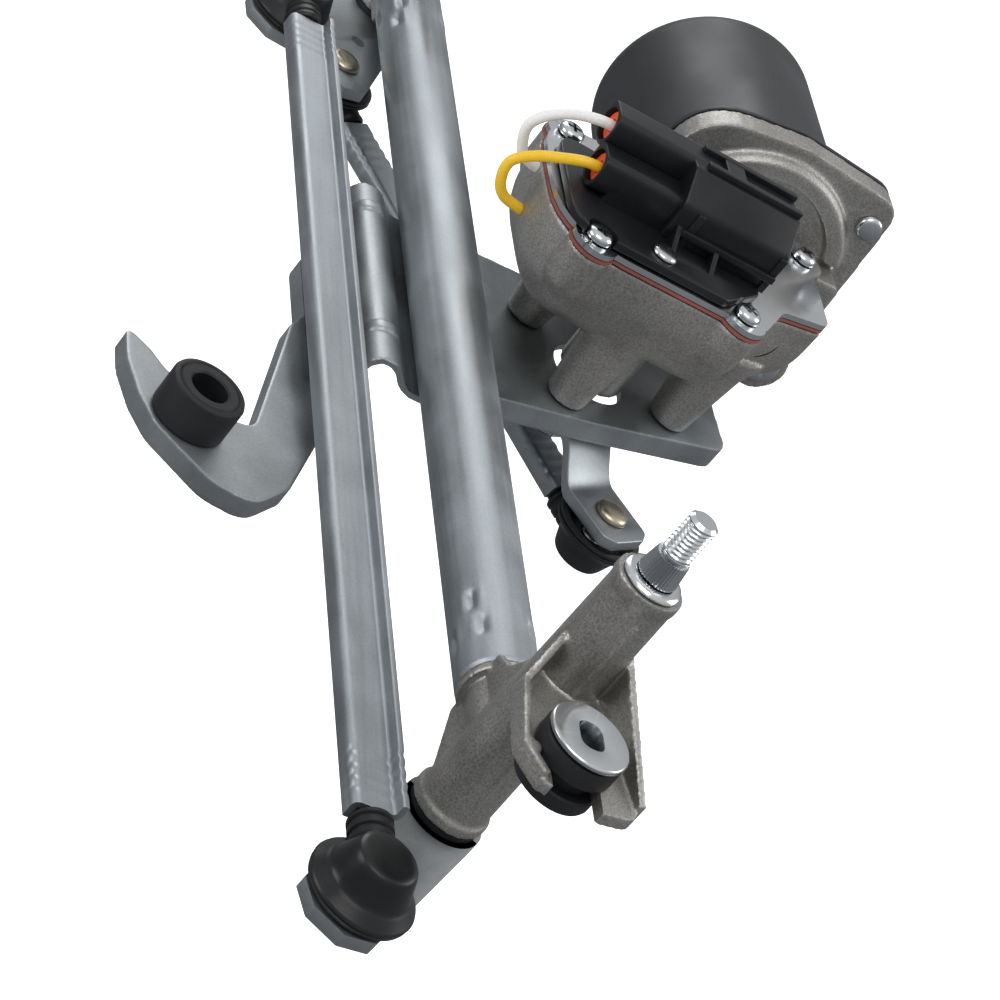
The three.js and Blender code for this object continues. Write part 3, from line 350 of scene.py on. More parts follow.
def gather(*objects):
    """One mesh of several shells. A remesh then makes one skin of it."""
    work = bmesh.new()
    for obj in objects:
        work.from_mesh(obj.data)
    mesh = bpy.data.meshes.new("gathered")
    work.to_mesh(mesh)
    work.free()
    for obj in objects:
        drop(obj)
    return placed("gathered", mesh)


def melt(obj, voxel, rounds, keep=0.4):
    """Fuses the shells into one skin with soft inner corners, as a casting has."""
    remesh = obj.modifiers.new("remesh", "REMESH")
    remesh.mode = "VOXEL"
    remesh.voxel_size = voxel * MM
    remesh.adaptivity = 0
    smooth = obj.modifiers.new("smooth", "SMOOTH")
    smooth.factor = 0.5
    smooth.iterations = rounds
    thin = obj.modifiers.new("thin", "DECIMATE")
    thin.ratio = keep
    return apply_modifiers(obj)


def soften(obj, width=0.4, segments=3, angle=32):
    bevel = obj.modifiers.new("bevel", "BEVEL")
    bevel.width = width * MM
    bevel.segments = segments
    bevel.limit_method = "ANGLE"
    bevel.angle_limit = math.radians(angle)
    return apply_modifiers(obj)


def shade(obj, angle):
    """Smooth faces, with a hard edge where two faces meet at more than the angle."""
    work = bmesh.new()
    work.from_mesh(obj.data)
    for face in work.faces:
        face.smooth = True
    for edge in work.edges:
        sharp = len(edge.link_faces) == 2 and edge.calc_face_angle(0) > math.radians(angle)
        edge.smooth = not sharp
    work.to_mesh(obj.data)
    work.free()


def skin(obj, node, material, angle=38):
    """Names the piece, gives it its material, and lets it stand for its CAD node."""
    obj.name = node + "_skin"
    obj.data.name = obj.name
    obj.data.materials.clear()
    obj.data.materials.append(material)
    shade(obj, angle)
    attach(obj, BODY_OF[node])
    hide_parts(node)
    return obj


# --- Materials ---
PATCH_SCALE, ROUGH_SPREAD = 45, 0.08


def shader(name, color, metallic, roughness, grain=1500, bump=0.1, spread=0.12, streaks=None, edge_wear_and_highlight=0.0,
           depth=0.12, specular=0.5):
    """A surface with patchy tone, fine grain, optional long streaks, and convex edges made brighter, partly
    as wear and partly as a painted highlight.
    """
    material = bpy.data.materials.new(name)
    material.use_nodes = True
    nodes, links = material.node_tree.nodes, material.node_tree.links
    surface = nodes["Principled BSDF"]
    surface.inputs["Metallic"].default_value = metallic
    surface.inputs["Specular IOR Level"].default_value = specular
    place = nodes.new("ShaderNodeTexCoord").outputs["Object"]

    def noise(scale, stretch=(1, 1, 1), detail=4.0):
        mapping = nodes.new("ShaderNodeMapping")
        mapping.inputs["Scale"].default_value = stretch
        links.new(place, mapping.inputs["Vector"])
        texture = nodes.new("ShaderNodeTexNoise")
        texture.inputs["Scale"].default_value = scale
        texture.inputs["Detail"].default_value = detail
        links.new(mapping.outputs["Vector"], texture.inputs["Vector"])
        return texture.outputs["Fac"]

    def ramp(value, low, high, start=0.32, end=0.68):
        spread_node = nodes.new("ShaderNodeMapRange")
        for key, number in zip(("From Min", "From Max", "To Min", "To Max"), (start, end, low, high)):
            spread_node.inputs[key].default_value = number
        links.new(value, spread_node.inputs["Value"])
        return spread_node.outputs["Result"]

    def math_node(operation, a, b):
        node = nodes.new("ShaderNodeMath")
        node.operation = operation
        for socket, value in zip(node.inputs, (a, b)):
            if isinstance(value, (int, float)):
                socket.default_value = value
            else:
                links.new(value, socket)
        return node.outputs[0]

    patches, grains = noise(PATCH_SCALE), noise(grain, detail=2.0)
    tone = math_node("MULTIPLY", ramp(patches, 1 - spread, 1 + spread),
                     ramp(grains, 1 - bump * 0.5, 1 + bump * 0.5))
    if streaks:
        lines = noise(1.0, streaks, 3.0)
        tone = math_node("MULTIPLY", tone, ramp(lines, 0.9, 1.08))
    # Convex edges are made brighter by pointiness: partly edge wear, partly a painted highlight.
    if edge_wear_and_highlight:
        edges = nodes.new("ShaderNodeNewGeometry").outputs["Pointiness"]
        tone = math_node("ADD", tone, ramp(edges, 0.0, edge_wear_and_highlight, 0.52, 0.62))
    scale = nodes.new("ShaderNodeVectorMath")
    scale.operation = "SCALE"
    scale.inputs[0].default_value = color
    links.new(tone, scale.inputs["Scale"])
    links.new(scale.outputs["Vector"], surface.inputs["Base Color"])
    rough = ramp(patches, roughness - ROUGH_SPREAD, roughness + ROUGH_SPREAD)
    if streaks:
        rough = math_node("ADD", rough, ramp(lines, -0.05, 0.05))
    links.new(rough, surface.inputs["Roughness"])
    relief = nodes.new("ShaderNodeBump")
    relief.inputs["Strength"].default_value = bump
    relief.inputs["Distance"].default_value = depth * MM
    links.new(grains, relief.inputs["Height"])
    links.new(relief.outputs["Normal"], surface.inputs["Normal"])
    return material


ZINC = shader("zinc", (0.36, 0.39, 0.41), 0.95, 0.48, spread=0.1, edge_wear_and_highlight=0.2, streaks=(6, 420, 420))
SHEET_ZINC = shader("sheet_zinc", (0.33, 0.355, 0.37), 0.9, 0.42, grain=1300, bump=0.12, spread=0.13,
                    edge_wear_and_highlight=0.25)
CAST = shader("cast_alloy", (0.37, 0.36, 0.34), 0.9, 0.46, grain=1700, bump=0.5, spread=0.08, depth=0.14,
              edge_wear_and_highlight=0.25)
BRIGHT = shader("bright_zinc", (0.58, 0.60, 0.615), 1.0, 0.2, grain=1800, bump=0.05, spread=0.06,
                edge_wear_and_highlight=0.15)
BRONZED = shader("passivated_rivet", (0.47, 0.42, 0.32), 1.0, 0.3, spread=0.2)
RUBBER = shader("rubber", (0.010, 0.0105, 0.012), 0.0, 0.55, grain=2400, bump=0.25, spread=0.25,
                specular=0.3)
PLASTIC = shader("black_plastic", (0.009, 0.0095, 0.011), 0.0, 0.36, grain=3000, bump=0.12, spread=0.2,
                 specular=0.32)
BOOT = shader("boot_plastic", (0.008, 0.0085, 0.0095), 0.0, 0.34, grain=2600, bump=0.12, spread=0.25,
              specular=0.32)
PAINT = shader("satin_paint", (0.024, 0.026, 0.029), 0.1, 0.42, grain=2600, bump=0.15, spread=0.1,
               specular=0.4)
GASKET_RED = shader("gasket_rubber", (0.2, 0.05, 0.038), 0.0, 0.55, grain=1800, bump=0.2)
ORANGE = shader("seal_rubber", (0.74, 0.085, 0.015), 0.0, 0.45, grain=1800, bump=0.2)
WHITE = shader("white_insulation", (0.75, 0.75, 0.73), 0.0, 0.35, grain=1600, spread=0.06)
YELLOW = shader("yellow_insulation", (0.82, 0.5, 0.02), 0.0, 0.33, grain=1600, spread=0.08)
BRASS = shader("terminal_brass", (0.6, 0.44, 0.2), 1.0, 0.3)
ACETAL = shader("acetal", (0.72, 0.68, 0.56), 0.0, 0.4, bump=0.12)
COPPER = shader("copper", (0.55, 0.24, 0.12), 1.0, 0.35, grain=1200, bump=0.2, streaks=(8, 700, 700))
FERRITE = shader("ferrite", (0.05, 0.05, 0.05), 0.1, 0.7, bump=0.4)


# --- Points the mechanism turns about ---
def polar(radius, degrees):
    return Vector((radius * math.cos(math.radians(degrees)), radius * math.sin(math.radians(degrees))))


def lever_top(pivot):
    return pivot["ring"] - LEVER_BELOW


def ball_point(pivot, ball, height):
    at = polar(*ball)
    return Vector((pivot["x"] + at.x, at.y, height))


NEAR_POINT = ball_point(NEAR, NEAR_BALL, lever_top(NEAR) + STUD_HEIGHT)
LONG_POINT = ball_point(FAR, FAR_LONG, lever_top(FAR) + STUD_HEIGHT)
SHORT_POINT = ball_point(FAR, FAR_SHORT, lever_top(FAR) - LEVER_THICK - STUD_HEIGHT)
CRANK_POINT = Vector((CRANK_X, CRANK_Y, CRANK_END - CRANK_THICK - STUD_HEIGHT))
PARK = (SHORT_POINT - CRANK_POINT).xy.normalized()
OUTPUT = CRANK_POINT.xy + PARK * CRANK_RADIUS
WORM_Y = OUTPUT.y - WORM_OFFSET
BACK_TO_CRANK = math.degrees(math.atan2(-PARK.y, -PARK.x))


# --- Frame tube ---
def build_tube():
    """The tube, with short stabs, as (x, degrees round the tube), pressed into it over each spigot."""
    sides, rows, stab_reach = 96, 420, 32
    x0, x1 = TUBE_INSET, PIVOT_SPACING - TUBE_INSET
    stabs = [(42.3, 29), (32.5, 41), (32, -11.5), (35, 119), (32, 205), (41, 250)]
    stabs += [(PIVOT_SPACING - x, angle) for x, angle in stabs]

    def dent(x, angle):
        depth = 0.0
        for stab_x, stab_angle in stabs:
            round_the_tube = ((angle - stab_angle + 180) % 360 - 180) * TUBE_OUTER * math.pi / 180
            near = math.exp(-(((x - stab_x) / 3.4) ** 4) - (round_the_tube / 1.3) ** 2)
            rim = math.exp(-(((x - stab_x) / 4.6) ** 2) - ((abs(round_the_tube) - 2.6) / 0.9) ** 2)
            depth += 1.15 * near - 0.3 * rim
        return depth

    vertices, faces = [], []
    for i in range(rows + 1):
        x = x0 + (x1 - x0) * i / rows
        edge = 0.5 * max(0, 1 - min(x - x0, x1 - x) / 0.6)
        for k in range(sides):
            angle = 360 * k / sides
            r = TUBE_OUTER - edge - (dent(x, angle) if min(x - x0, x1 - x) < stab_reach else 0)
            vertices.append((x, r * math.cos(math.radians(angle)), r * math.sin(math.radians(angle))))
    for x in (x1, x0):
        for k in range(sides):
            angle = math.radians(360 * k / sides)
            vertices.append((x, TUBE_INNER * math.cos(angle), TUBE_INNER * math.sin(angle)))
    for i in range(rows + 3):
        faces += strip(i * sides, (i + 1) % (rows + 3) * sides, sides)
    skin(make_mesh("tube", vertices, faces), "frame_tube", ZINC)


# --- Pivots ---
def lug_wall(path, heights):
    """A wall on the lug's floor along an [x, y] path, with its height given in the X-Z plane."""
    run = prism(band(path, LUG_WALL), LUG_BOTTOM - 20, LUG_TOP + 20)
    return boolean(run, "INTERSECT", [side_slab(rounded(heights), -30, 30)])


def pivot_lug():
    """The near pivot's mount lug: a floor, a wall along each side and a short post."""
    bottom, top = LUG_BOTTOM, LUG_TOP
    outline = [(7, 4, 0), (-11.5, 16.4, 4), (-34, 18.6, 6), (-43.2, 13.2, 2), (-45.6, -5, 3), (-44, -13, 5),
               (-37, -15.8, 5), (1, -9.4, 0), (7, -3, 0)]
    floor = prism(rounded(outline), bottom, top)
    lever_side = lug_wall([(-1.5, 8.6), (-12, 15.2), (-33.6, 17.4), (-42, 12.7)],
                          [(-46, bottom), (-46, top + 2), (-12, top + 2.6), (-3, top + 11), (3, top + 11),
                           (3, bottom)])
    motor_side = lug_wall([(-1, -8.2), (-40, -14.6)],
                          [(-43, bottom), (-43, top + 1), (-1, top + 14), (3, top + 14), (3, bottom - 11),
                           (-7, bottom - 11), (-36, bottom)])
    post = move(rod(2.1, bottom, top + 2.2), -34.6, 15.6)
    return [floor, lever_side, motor_side, post]


def pivot_casting(pivot):
    """The casting as on the near side: barrel, spigot in the tube, webs between them and the lug."""
    ring, top = pivot["ring"], pivot["top"]
    ring_top = ring + 2.6
    barrel = turned([(0, ring), (10.7, ring), (10.7, ring_top), (9.6, ring_top + 1), (8.9, top - 4),
                     (9.3, top - 3), (9.3, top), (0, top)])
    spigot = along_x(turned([(0, 0), (TUBE_INNER - GAP, 0), (TUBE_INNER - GAP, 36), (7.6, 39), (0, 39)]))
    collar = along_x(rod(TUBE_OUTER - 0.1, TUBE_INSET - 2.8, TUBE_INSET - GAP))
    shoulder, low = TUBE_INSET - GAP, ring + 2
    web = [(0, low + 2), (shoulder, -8.5), (shoulder, 8.5), (0, 24)]
    rib = [(0, low), (4, low), (shoulder, -10.8), (shoulder, 10.8), (11, 14), (0, 32)]
    webs = [side_slab(web, -6.5, 6.5), side_slab(rib, 5.2, 7.4), side_slab(rib, -7.4, -5.2)]
    parting = side_slab([(-10.2, ring + 10), (-9.4, ring + 10), (-8.9, top - 8), (-9.5, top - 8)],
                        -0.4, 0.4)
    body = melt(gather(barrel, spigot, collar, *webs, *pivot_lug(), parting), 0.5, 4)
    mouth = block(-60, LUG_X, LUG_Y - LUG_MOUTH, LUG_Y + LUG_MOUTH, LUG_BOTTOM - 1, LUG_TOP + 8)
    hole = move(rod(MOUNT_HOLE, LUG_BOTTOM - 1, LUG_TOP + 1), LUG_X, LUG_Y)
    return cut(body, rod(7.3, ring - 2, top + 2), hole, mouth)


def grommet(bottom, top, up, down, lower):
    """A rubber mount with a groove for the plate and softly rounded flanges."""
    flange, neck, bore = GROMMET_FLANGE, GROMMET_NECK, GROMMET_BORE
    low, high = bottom - down, top + up
    return turned([
        (bore, low + 0.5), (bore + 0.5, low), (lower - 1.2, low), (lower - 0.35, low + 0.35),
        (lower, low + 1.1), (lower, bottom - GAP - 0.5), (lower - 0.4, bottom - GAP), (neck, bottom - GAP),
        (neck, top + GAP), (flange - 0.4, top + GAP), (flange, top + GAP + 0.5), (flange, high - 1.1),
        (flange - 0.35, high - 0.35), (flange - 1.2, high), (9.4, high), (8.9, high - 0.5), (8.3, high),
        (bore + 0.5, high), (bore, high - 0.5),
    ], 96)


def mount_sleeve(bottom, top):
    """A steel sleeve through the grommet, with a washer on top and an oblong slot for the bolt."""
    slot = rounded([(-4.6, -3.4, 3.2), (4.6, -3.4, 3.2), (4.6, 3.4, 3.2), (-4.6, 3.4, 3.2)], 12)
    edge = GROMMET_FLANGE
    body = turned([(0, bottom), (5.2, bottom), (5.2, top), (edge - 0.4, top), (edge, top + 0.4),
                   (edge, top + 1.2), (edge - 0.4, top + 1.6), (0, top + 1.6)], 96)
    return soften(cut(body, prism(slot, bottom - 1, top + 3)), 0.22, 2)


def build_pivot(name, pivot):
    casting = pivot_casting(pivot)
    if pivot["way"] < 0:
        mirror_x(casting)
    skin(move(casting, pivot["x"]), name + "_pivot_housing", CAST, 30)
    under = pivot["ring"] - GAP
    bush = turned([(5.3, under - 1.9), (10, under - 1.9), (10.2, under - 1.7), (10.2, under), (7, under),
                   (7, under + 24), (5.3, under + 24)], 64)
    skin(move(bush, pivot["x"]), name + "_bush", PLASTIC)
    x = pivot["x"] + pivot["way"] * LUG_X
    rubber = grommet(LUG_BOTTOM, LUG_TOP, GROMMET_UP, GROMMET_DOWN, GROMMET_FLANGE)
    skin(move(rubber, x, LUG_Y), name + "_grommet", RUBBER, 30)
    sleeve = move(mount_sleeve(LUG_BOTTOM - GROMMET_DOWN, LUG_TOP + GROMMET_UP + GAP), x, LUG_Y)
    skin(sleeve, name + "_sleeve", BRIGHT, 30)


# --- Wiper shafts and levers ---
def wiper_shaft(pivot):
    """A shaft with a toothed taper for the wiper arm and a rolled M8 thread above it."""
    top, rim = lever_top(pivot), pivot["top"] + 2.4
    foot, taper, tip = top - LEVER_THICK, rim + TAPER, pivot["top"] + 21.5
    sides = 144
    profile = [(0, foot - 2), (5.3, foot - 2), (6.1, foot - 1.7), (6.4, foot - 1.1), (6.4, foot - GAP),
               (4, foot - GAP), (4, top + GAP), (5, top + GAP), (5, rim - 0.6)]
    # Each row is a radius, a height, and how much of the teeth and of the thread it carries.
    rows = [(r, z, 0, 0) for r, z in profile]
    rows += [(5.5 - 0.85 * t, rim + TAPER * t, 1, 0) for t in (0.0, 0.05, 0.2, 0.4, 0.6, 0.8, 0.95, 1.0)]
    rows += [(3.4, taper + 0.35, 0, 0), (3.4, taper + 1.2, 0, 0)]
    count = int((tip - 0.6 - taper - 1.2) / THREAD_PITCH * 10)
    rows += [(4, taper + 1.2 + (tip - 0.8 - taper - 1.2) * k / count, 0, min(1, k / 6, (count - k) / 6))
             for k in range(count + 1)]
    rows += [(3.1, tip, 0, 0), (0, tip, 0, 0)]
    vertices, rings = [], []
    for r, z, toothed, threaded in rows:
        start, ring = len(vertices), sides if r > 0 else 1
        for k in range(ring):
            share = k / sides
            tooth = abs((share * TAPER_TEETH) % 1 - 0.5) * 2
            thread = abs((z / THREAD_PITCH - share) % 1 - 0.5) * 2
            radius = r - toothed * 0.55 * tooth - threaded * 0.68 * thread
            angle = 2 * math.pi * share
            vertices.append((radius * math.cos(angle), radius * math.sin(angle), z))
        rings.append((start, ring))
    return make_mesh("shaft", vertices, stitched(rings, sides))


def lever_arm(ball, flat_end=6):
    radius, angle = ball
    end, half = radius + LEVER_END, LEVER_HALF
    outline = [(0, -half), (end - flat_end, -half, 1), (end, -half + flat_end * 1.1, 1),
               (end, half - flat_end * 1.1, 1), (end - flat_end, half, 1), (0, half)]
    return turn(fuse(prism(rounded(outline), 0, LEVER_THICK), rod(half, 0, LEVER_THICK, 96)), angle, "Z")


def lever_bore(ball, radius):
    return move(rod(radius, -1, LEVER_THICK + 1, 40), *polar(*ball))


def rivet_part(plate, shank_top):
    """The profile of the rivet head under a plate, with its shank."""
    under = -plate - GAP
    return [(0, under - 2), (2.8, under - 2), (4.6, under - 1.75), (5.4, under - 1), (5.6, under - 0.4),
            (5.6, under), (3.9, under), (3.9, shank_top)]


def ball_part():
    """The profile of a ball on its collar, above a plate."""
    neck = 3.1
    ball = arc(BALL_RADIUS, -math.acos(neck / BALL_RADIUS), QUARTER, 12, z=STUD_HEIGHT)
    return [(6, GAP), (6, 1.4), (neck, 2)] + ball


def stud_piece(profile, flip):
    piece = turned(profile, 48)
    return turn(piece, 180, "X") if flip else piece


def stud(plate, flip=False):
    return stud_piece(rivet_part(plate, GAP) + ball_part(), flip)


def lone_rivet(plate, flip=False):
    return stud_piece(rivet_part(plate, RIVET_TOP) + [(0, RIVET_TOP)], flip)


def lone_ball(flip=False):
    return stud_piece([(0, GAP)] + ball_part(), flip)


def build_lever(name, pivot, arm):
    x, z = pivot["x"], lever_top(pivot) - LEVER_THICK
    skin(move(wiper_shaft(pivot), x), name + "_shaft", BRIGHT, 30)
    top = pivot["top"]
    cap = turned([(5.4, top + GAP), (7.9, top + GAP), (8.1, top + 0.8), (7.6, top + 1.5), (6.8, top + 1.7),
                  (5.4, top + 1.7)])
    skin(move(cap, x), name + "_shaft_cap", BRIGHT, 50)
    skin(move(soften(arm, 0.5), x, 0, z), name + "_lever", SHEET_ZINC)


def build_levers():
    near = cut(lever_arm(NEAR_BALL), rod(SHAFT_HOLE, -1, 5, 48), lever_bore(NEAR_BALL, BALL_HOLE))
    build_lever("near", NEAR, near)
    skin(move(lone_rivet(LEVER_THICK), *NEAR_POINT.xy, lever_top(NEAR)), "near_rivet", BRIGHT)
    skin(move(lone_ball(), *NEAR_POINT.xy, lever_top(NEAR)), "near_ball", BRIGHT)
    far = fuse(lever_arm(FAR_LONG), lever_arm(FAR_SHORT))
    far = cut(far, rod(SHAFT_HOLE, -1, 5, 48), lever_bore(FAR_LONG, BALL_HOLE),
              lever_bore(FAR_SHORT, BALL_HOLE), lever_bore((31, FAR_SHORT[1]), 2.6))
    build_lever("far", FAR, far)
    skin(move(stud(LEVER_THICK), *LONG_POINT.xy, lever_top(FAR)), "far_stud_long", BRONZED)
    z = lever_top(FAR) - LEVER_THICK
    skin(move(stud(LEVER_THICK, True), *SHORT_POINT.xy, z), "far_stud_short", BRONZED)


# --- Rods and their sockets ---
def socket_body():
    """Socket and bellows boot round a ball at the origin, open downwards."""
    low, high = -STUD_HEIGHT + 0.9, 14.9 - STUD_HEIGHT
    outside = smooth_path([(0, high), (5, high - 0.05), (7.4, high - 0.4), (8.5, high - 1.5),
                           (9.6, high - 4.4), (10.9, -0.6), (12.1, low + 4.7), (13.5, low + 3.4),
                           (14.3, low + 2.7)], 5)
    skirt = [(14.6, low + 2.1), (14.5, low + 1.6), (14.0, low + 1.3), (14.45, low + 0.9), (14.2, low + 0.2),
             (13.6, low), (12.2, low), (9.6, low + 2.6), (7.6, low + 2.8)]
    cavity = arc(5.8, -math.asin(3 / 5.8), QUARTER, 10)
    return turned(outside + skirt + cavity, 80)


def socket(at, other, side):
    """A socket over the ball at a point, with its ribbed neck turned towards the rod's other ball."""
    ribs = [(0, 0), (5.4, 0), (5.8, 0.5), (5.8, 2.2), (5.2, 2.6), (5.2, 3.2), (5.8, 3.6), (5.8, 5.4),
            (5.2, 5.8), (5.2, 6.4), (5.8, 6.8), (5.8, 7.8), (5.0, 8.6), (0, 8.6)]
    plug = along_x(turned([(r, SOCKET_NECK + x) for r, x in ribs], 48))
    tongue = soften(block(9, ROD_START + 14, -4.6, 4.4, -2.6, 1.9), 0.5)
    pieces = [aim(piece, other - at) for piece in (plug, tongue)]
    body = socket_body()
    if side < 0:
        turn(body, 180, "X")
    return move(fuse(body, *pieces), *at)


def rod_outline(other_edge_up):
    """The section of a rod: a flat web and two narrow edges, with bent corners."""
    web, half, under = ROD_WEB, ROD_HALF, ROD_UNDER
    over, low = under + web, under - ROD_DOWN
    if other_edge_up:
        rest = [(-half + web, over, 1.0), (-half + web, over + ROD_UP, 0.5), (-half, over + ROD_UP, 0.5),
                (-half, under, 2.4)]
    else:
        rest = [(-half, over, 2.2), (-half, low, 0.5), (-half + web, low, 0.5), (-half + web, under, 0.6)]
    outline = [(half, low, 0.5), (half, over, 2.2), *rest, (half - web, under, 0.6), (half - web, low, 0.5)]
    return rounded(outline, 5)


def build_rod(name, start, end, other_edge_up):
    """A rolled rod. Near each end its edges are pinched in over the socket's tongue."""
    outline, length = rod_outline(other_edge_up), (end - start).length
    x0, x1 = ROD_START, length - ROD_START
    stations = sorted({x0 + 0.5 * k for k in range(64)} | {x1 - 0.5 * k for k in range(64)}
                      | {x0 + (x1 - x0) * k / 30 for k in range(31)})
    crimps = [5.5, 9.5, 13.5, 17.5]
    vertices = []
    for x in stations:
        inner = min(x - x0, x1 - x)
        pinch = sum(math.exp(-((inner - c) / 1.1) ** 2) for c in crimps)
        for y, z in outline:
            squeeze = 0.28 * pinch if z > ROD_UNDER + 0.2 else 0.0
            vertices.append((x, y - math.copysign(squeeze * 0.6, y), z - squeeze))
    piece = aim(capped("rod", vertices, len(outline)), end - start)
    skin(move(piece, *start), name, ZINC, 28)


def build_rods():
    build_rod("long_rod", NEAR_POINT, LONG_POINT, True)
    build_rod("short_rod", CRANK_POINT, SHORT_POINT, False)
    for name, at, other, side in (("long_rod_near_socket", NEAR_POINT, LONG_POINT, 1),
                                  ("long_rod_far_socket", LONG_POINT, NEAR_POINT, 1),
                                  ("short_rod_far_socket", SHORT_POINT, CRANK_POINT, -1),
                                  ("short_rod_crank_socket", CRANK_POINT, SHORT_POINT, -1)):
        skin(socket(at, other, side), name, BOOT, 32)


# --- Motor bracket ---
def build_bracket():
    """The motor plate with its rim turned down, and the saddle over the tube with a bead at each end."""
    outline = [(163, -12, 2), (178, -60, 10), (198, -114, 8), (229, -112, 10), (242, -60, 16), (239, -12, 2)]
    sheet = prism(rounded(outline), PLATE_TOP - SHEET, PLATE_TOP)
    skirt = cut(prism(rounded(outline), FLANGE_BOTTOM, PLATE_TOP - 0.2),
                prism(rounded(inset(outline, SHEET)), FLANGE_BOTTOM - 1, PLATE_TOP + 1),
                block(150, 260, -14.5, 0, -30, 0))
    path = smooth_path([(-13, -12.5), (5, -12.5), (8.5, -12.2), (11.4, -10.6), (13.6, -8.2), (16, -6.6),
                        (18.6, -6.1), (21.2, -6.8), (23, -9), (24.3, -12.5), (25.8, -16.4), (28.6, -18.6),
                        (32, -19.1), (36, -19.1)], 3)
    saddle = end_slab(band(path, SHEET), 148, 236)
    arch = smooth_path([(12.6, -9.4), (14.4, -6.7), (16.6, -5.3), (18.8, -5), (21.4, -5.7), (23.4, -8.4),
                        (24.4, -11.5)], 3)
    beads = [end_slab(band(arch, 1.6), x, x + 4) for x in (162, 222)]
    body = melt(gather(sheet, skirt, saddle, *beads), 0.5, 4)
    holes = rods_at([OUTPUT], 12.5, -30, 0, 64) + rods_at(FEET, 3.4, -30, 0, 64)
    skin(cut(body, *holes), "motor_bracket", SHEET_ZINC, 35)


def build_arm():
    """The curved arm with its rim turned down, and the rubber mount at its end."""
    outline = [(206, 28, 6), (150, 28, 6), (119.5, 34, 8), (92, 44.5, 10), (78.5, 56, 10), (80, 69, 12),
               (94, 85.5, 12), (104, 90.5, 12), (117, 94, 10), (131, 94.5, 5), (125, 86.5, 4),
               (119.3, 82, 8), (110.5, 62, 8), (112, 55, 8), (134, 49.5, 10), (168, 41, 4), (176, 36, 4),
               (206, 36, 6)]
    sheet = prism(rounded(outline), ARM_TOP - SHEET, ARM_TOP)
    skirt = cut(prism(rounded(outline), ARM_TOP - SHEET - ARM_RIM, ARM_TOP - 0.2),
                prism(rounded(inset(outline, SHEET)), ARM_TOP - 30, ARM_TOP + 1))
    body = melt(gather(sheet, skirt), 0.45, 4)
    skin(cut(body, move(rod(MOUNT_HOLE, -60, 0), ARM_X, ARM_Y)), "bracket_arm", SHEET_ZINC, 35)
    rubber = move(grommet(ARM_TOP - SHEET, ARM_TOP, 12, 4, GROMMET_SNAP), ARM_X, ARM_Y)
    skin(rubber, "arm_grommet", RUBBER, 30)


# --- Motor ---
def case_outline():
    return [(168, -5, 26), (168, -81, 8), (186, -92, 8), (191, -111, 7), (233, -111, 7), (233, -5, 22)]


def yoke_outline():
    return [(-52.5, -4.5, 20), (-133, -4.5, 9), (-128, 70.5, 9), (-90, 73, 30), (-52.5, 67, 24)]


def on_worm_axis(obj):
    return move(along_x(obj), 0, WORM_Y, WORM_Z)


def build_case():
    """The cast gear case: a bowl on three legs, with a neck and a flange for the motor can."""
    quarter = [math.radians(9 * step) for step in range(11)]
    profile = [(22 - 19.6 * math.sin(a), 34 - 23 * math.cos(a)) for a in quarter]
    bowl = loft(case_outline(), profile + [(2.2, CASE_TOP)])
    column = [(0, 24), (3, 24), (6.4, 29), (7.4, 34), (7.4, CASE_TOP), (0, CASE_TOP)]
    columns = [move(turned(column, 40), x, y) for x, y in SCREWS]
    foot, floor = PLATE_TOP + GAP, CASE_FLOOR
    leg = [(0, foot), (6.6, foot), (7.4, -4), (8.6, 6), (9.8, floor + 4), (11.6, floor + 9),
           (12.5, floor + 13), (0, floor + 13)]
    legs = [move(turned(leg, 40), x, y) for x, y in FEET]
    boss = move(rod(11, PLATE_TOP + 1, floor + 4), *OUTPUT)
    neck = on_worm_axis(rod(33, EAR_FROM, YOKE_FACE + 1, 96))
    neck = cut(neck, block(180, 280, -200, 0, CASE_TOP, 100), block(180, 280, -50, 100, -100, 100),
               block(180, 280, -200, -130, -100, 100))
    flange = end_slab(rounded(yoke_outline()), YOKE_FACE, YOKE_BACK - GAP)
    step = on_worm_axis(turned([(28, 234), (33, 234), (34.6, 236), (34.6, 239), (28, 239)], 96))
    step = cut(step, block(180, 280, -200, 0, -100, CASE_TOP + 2))
    ear = move(along_x(rod(9.5, EAR_FROM, YOKE_FACE + 1)), 0, *YOKE_SCREW)
    body = melt(gather(bowl, *columns, *legs, boss, neck, flange, step, ear), 0.8, 4, 0.45)
    rooms = [
        move(rod(23.4, 26, CASE_TOP + 5, 96), *OUTPUT),
        move(rod(6.4, -30, 40), *OUTPUT),
        on_worm_axis(rod(7.4, 190, 240)),
        block(193, 221, WORM_Y, WORM_Y + 12, WORM_Z - 6, WORM_Z + 6),
        on_worm_axis(rod(31, YOKE_FACE, YOKE_BACK + 3, 96)),
    ]
    rooms += rods_at(FEET, 3.2, -30, 4) + rods_at(SCREWS, 2.3, 31.5, CASE_TOP + 5)
    rooms += [move(along_x(rod(2.8, 220, 260, 32)), 0, y, z) for y, z in (YOKE_SCREW, YOKE_RIVET)]
    skin(cut(body, *rooms), "gearbox_housing", CAST, 30)


def lobed_plate(outline, z0, z1, lobe):
    """The cover's outline, drawn in between the screws and out again round each of them."""
    plate = prism(rounded(inset(outline, 2.4)), z0, z1)
    return fuse(plate, *rods_at(SCREWS, lobe, z0, z1, 64))


def build_cover():
    """The gasket, open in the middle, and the cover plate on it."""
    outline, bottom = case_outline(), CASE_TOP + GAP
    gasket = cut(lobed_plate(outline, bottom, bottom + GASKET, 7.7),
                 prism(rounded(inset(outline, 8.5)), 30, 60), *rods_at(SCREWS, SCREW_HOLE, 30, 60))
    skin(gasket, "cover_gasket", GASKET_RED)
    low = bottom + GASKET + GAP
    cover = cut(lobed_plate(outline, low, low + COVER_THICK, 7.4), *rods_at(SCREWS, SCREW_HOLE, 30, 60),
                *rods_at([RIVET_SPOT], RIVET_HOLE, 30, 60))
    skin(soften(cover, 0.45), "gearbox_cover", BRIGHT, 30)


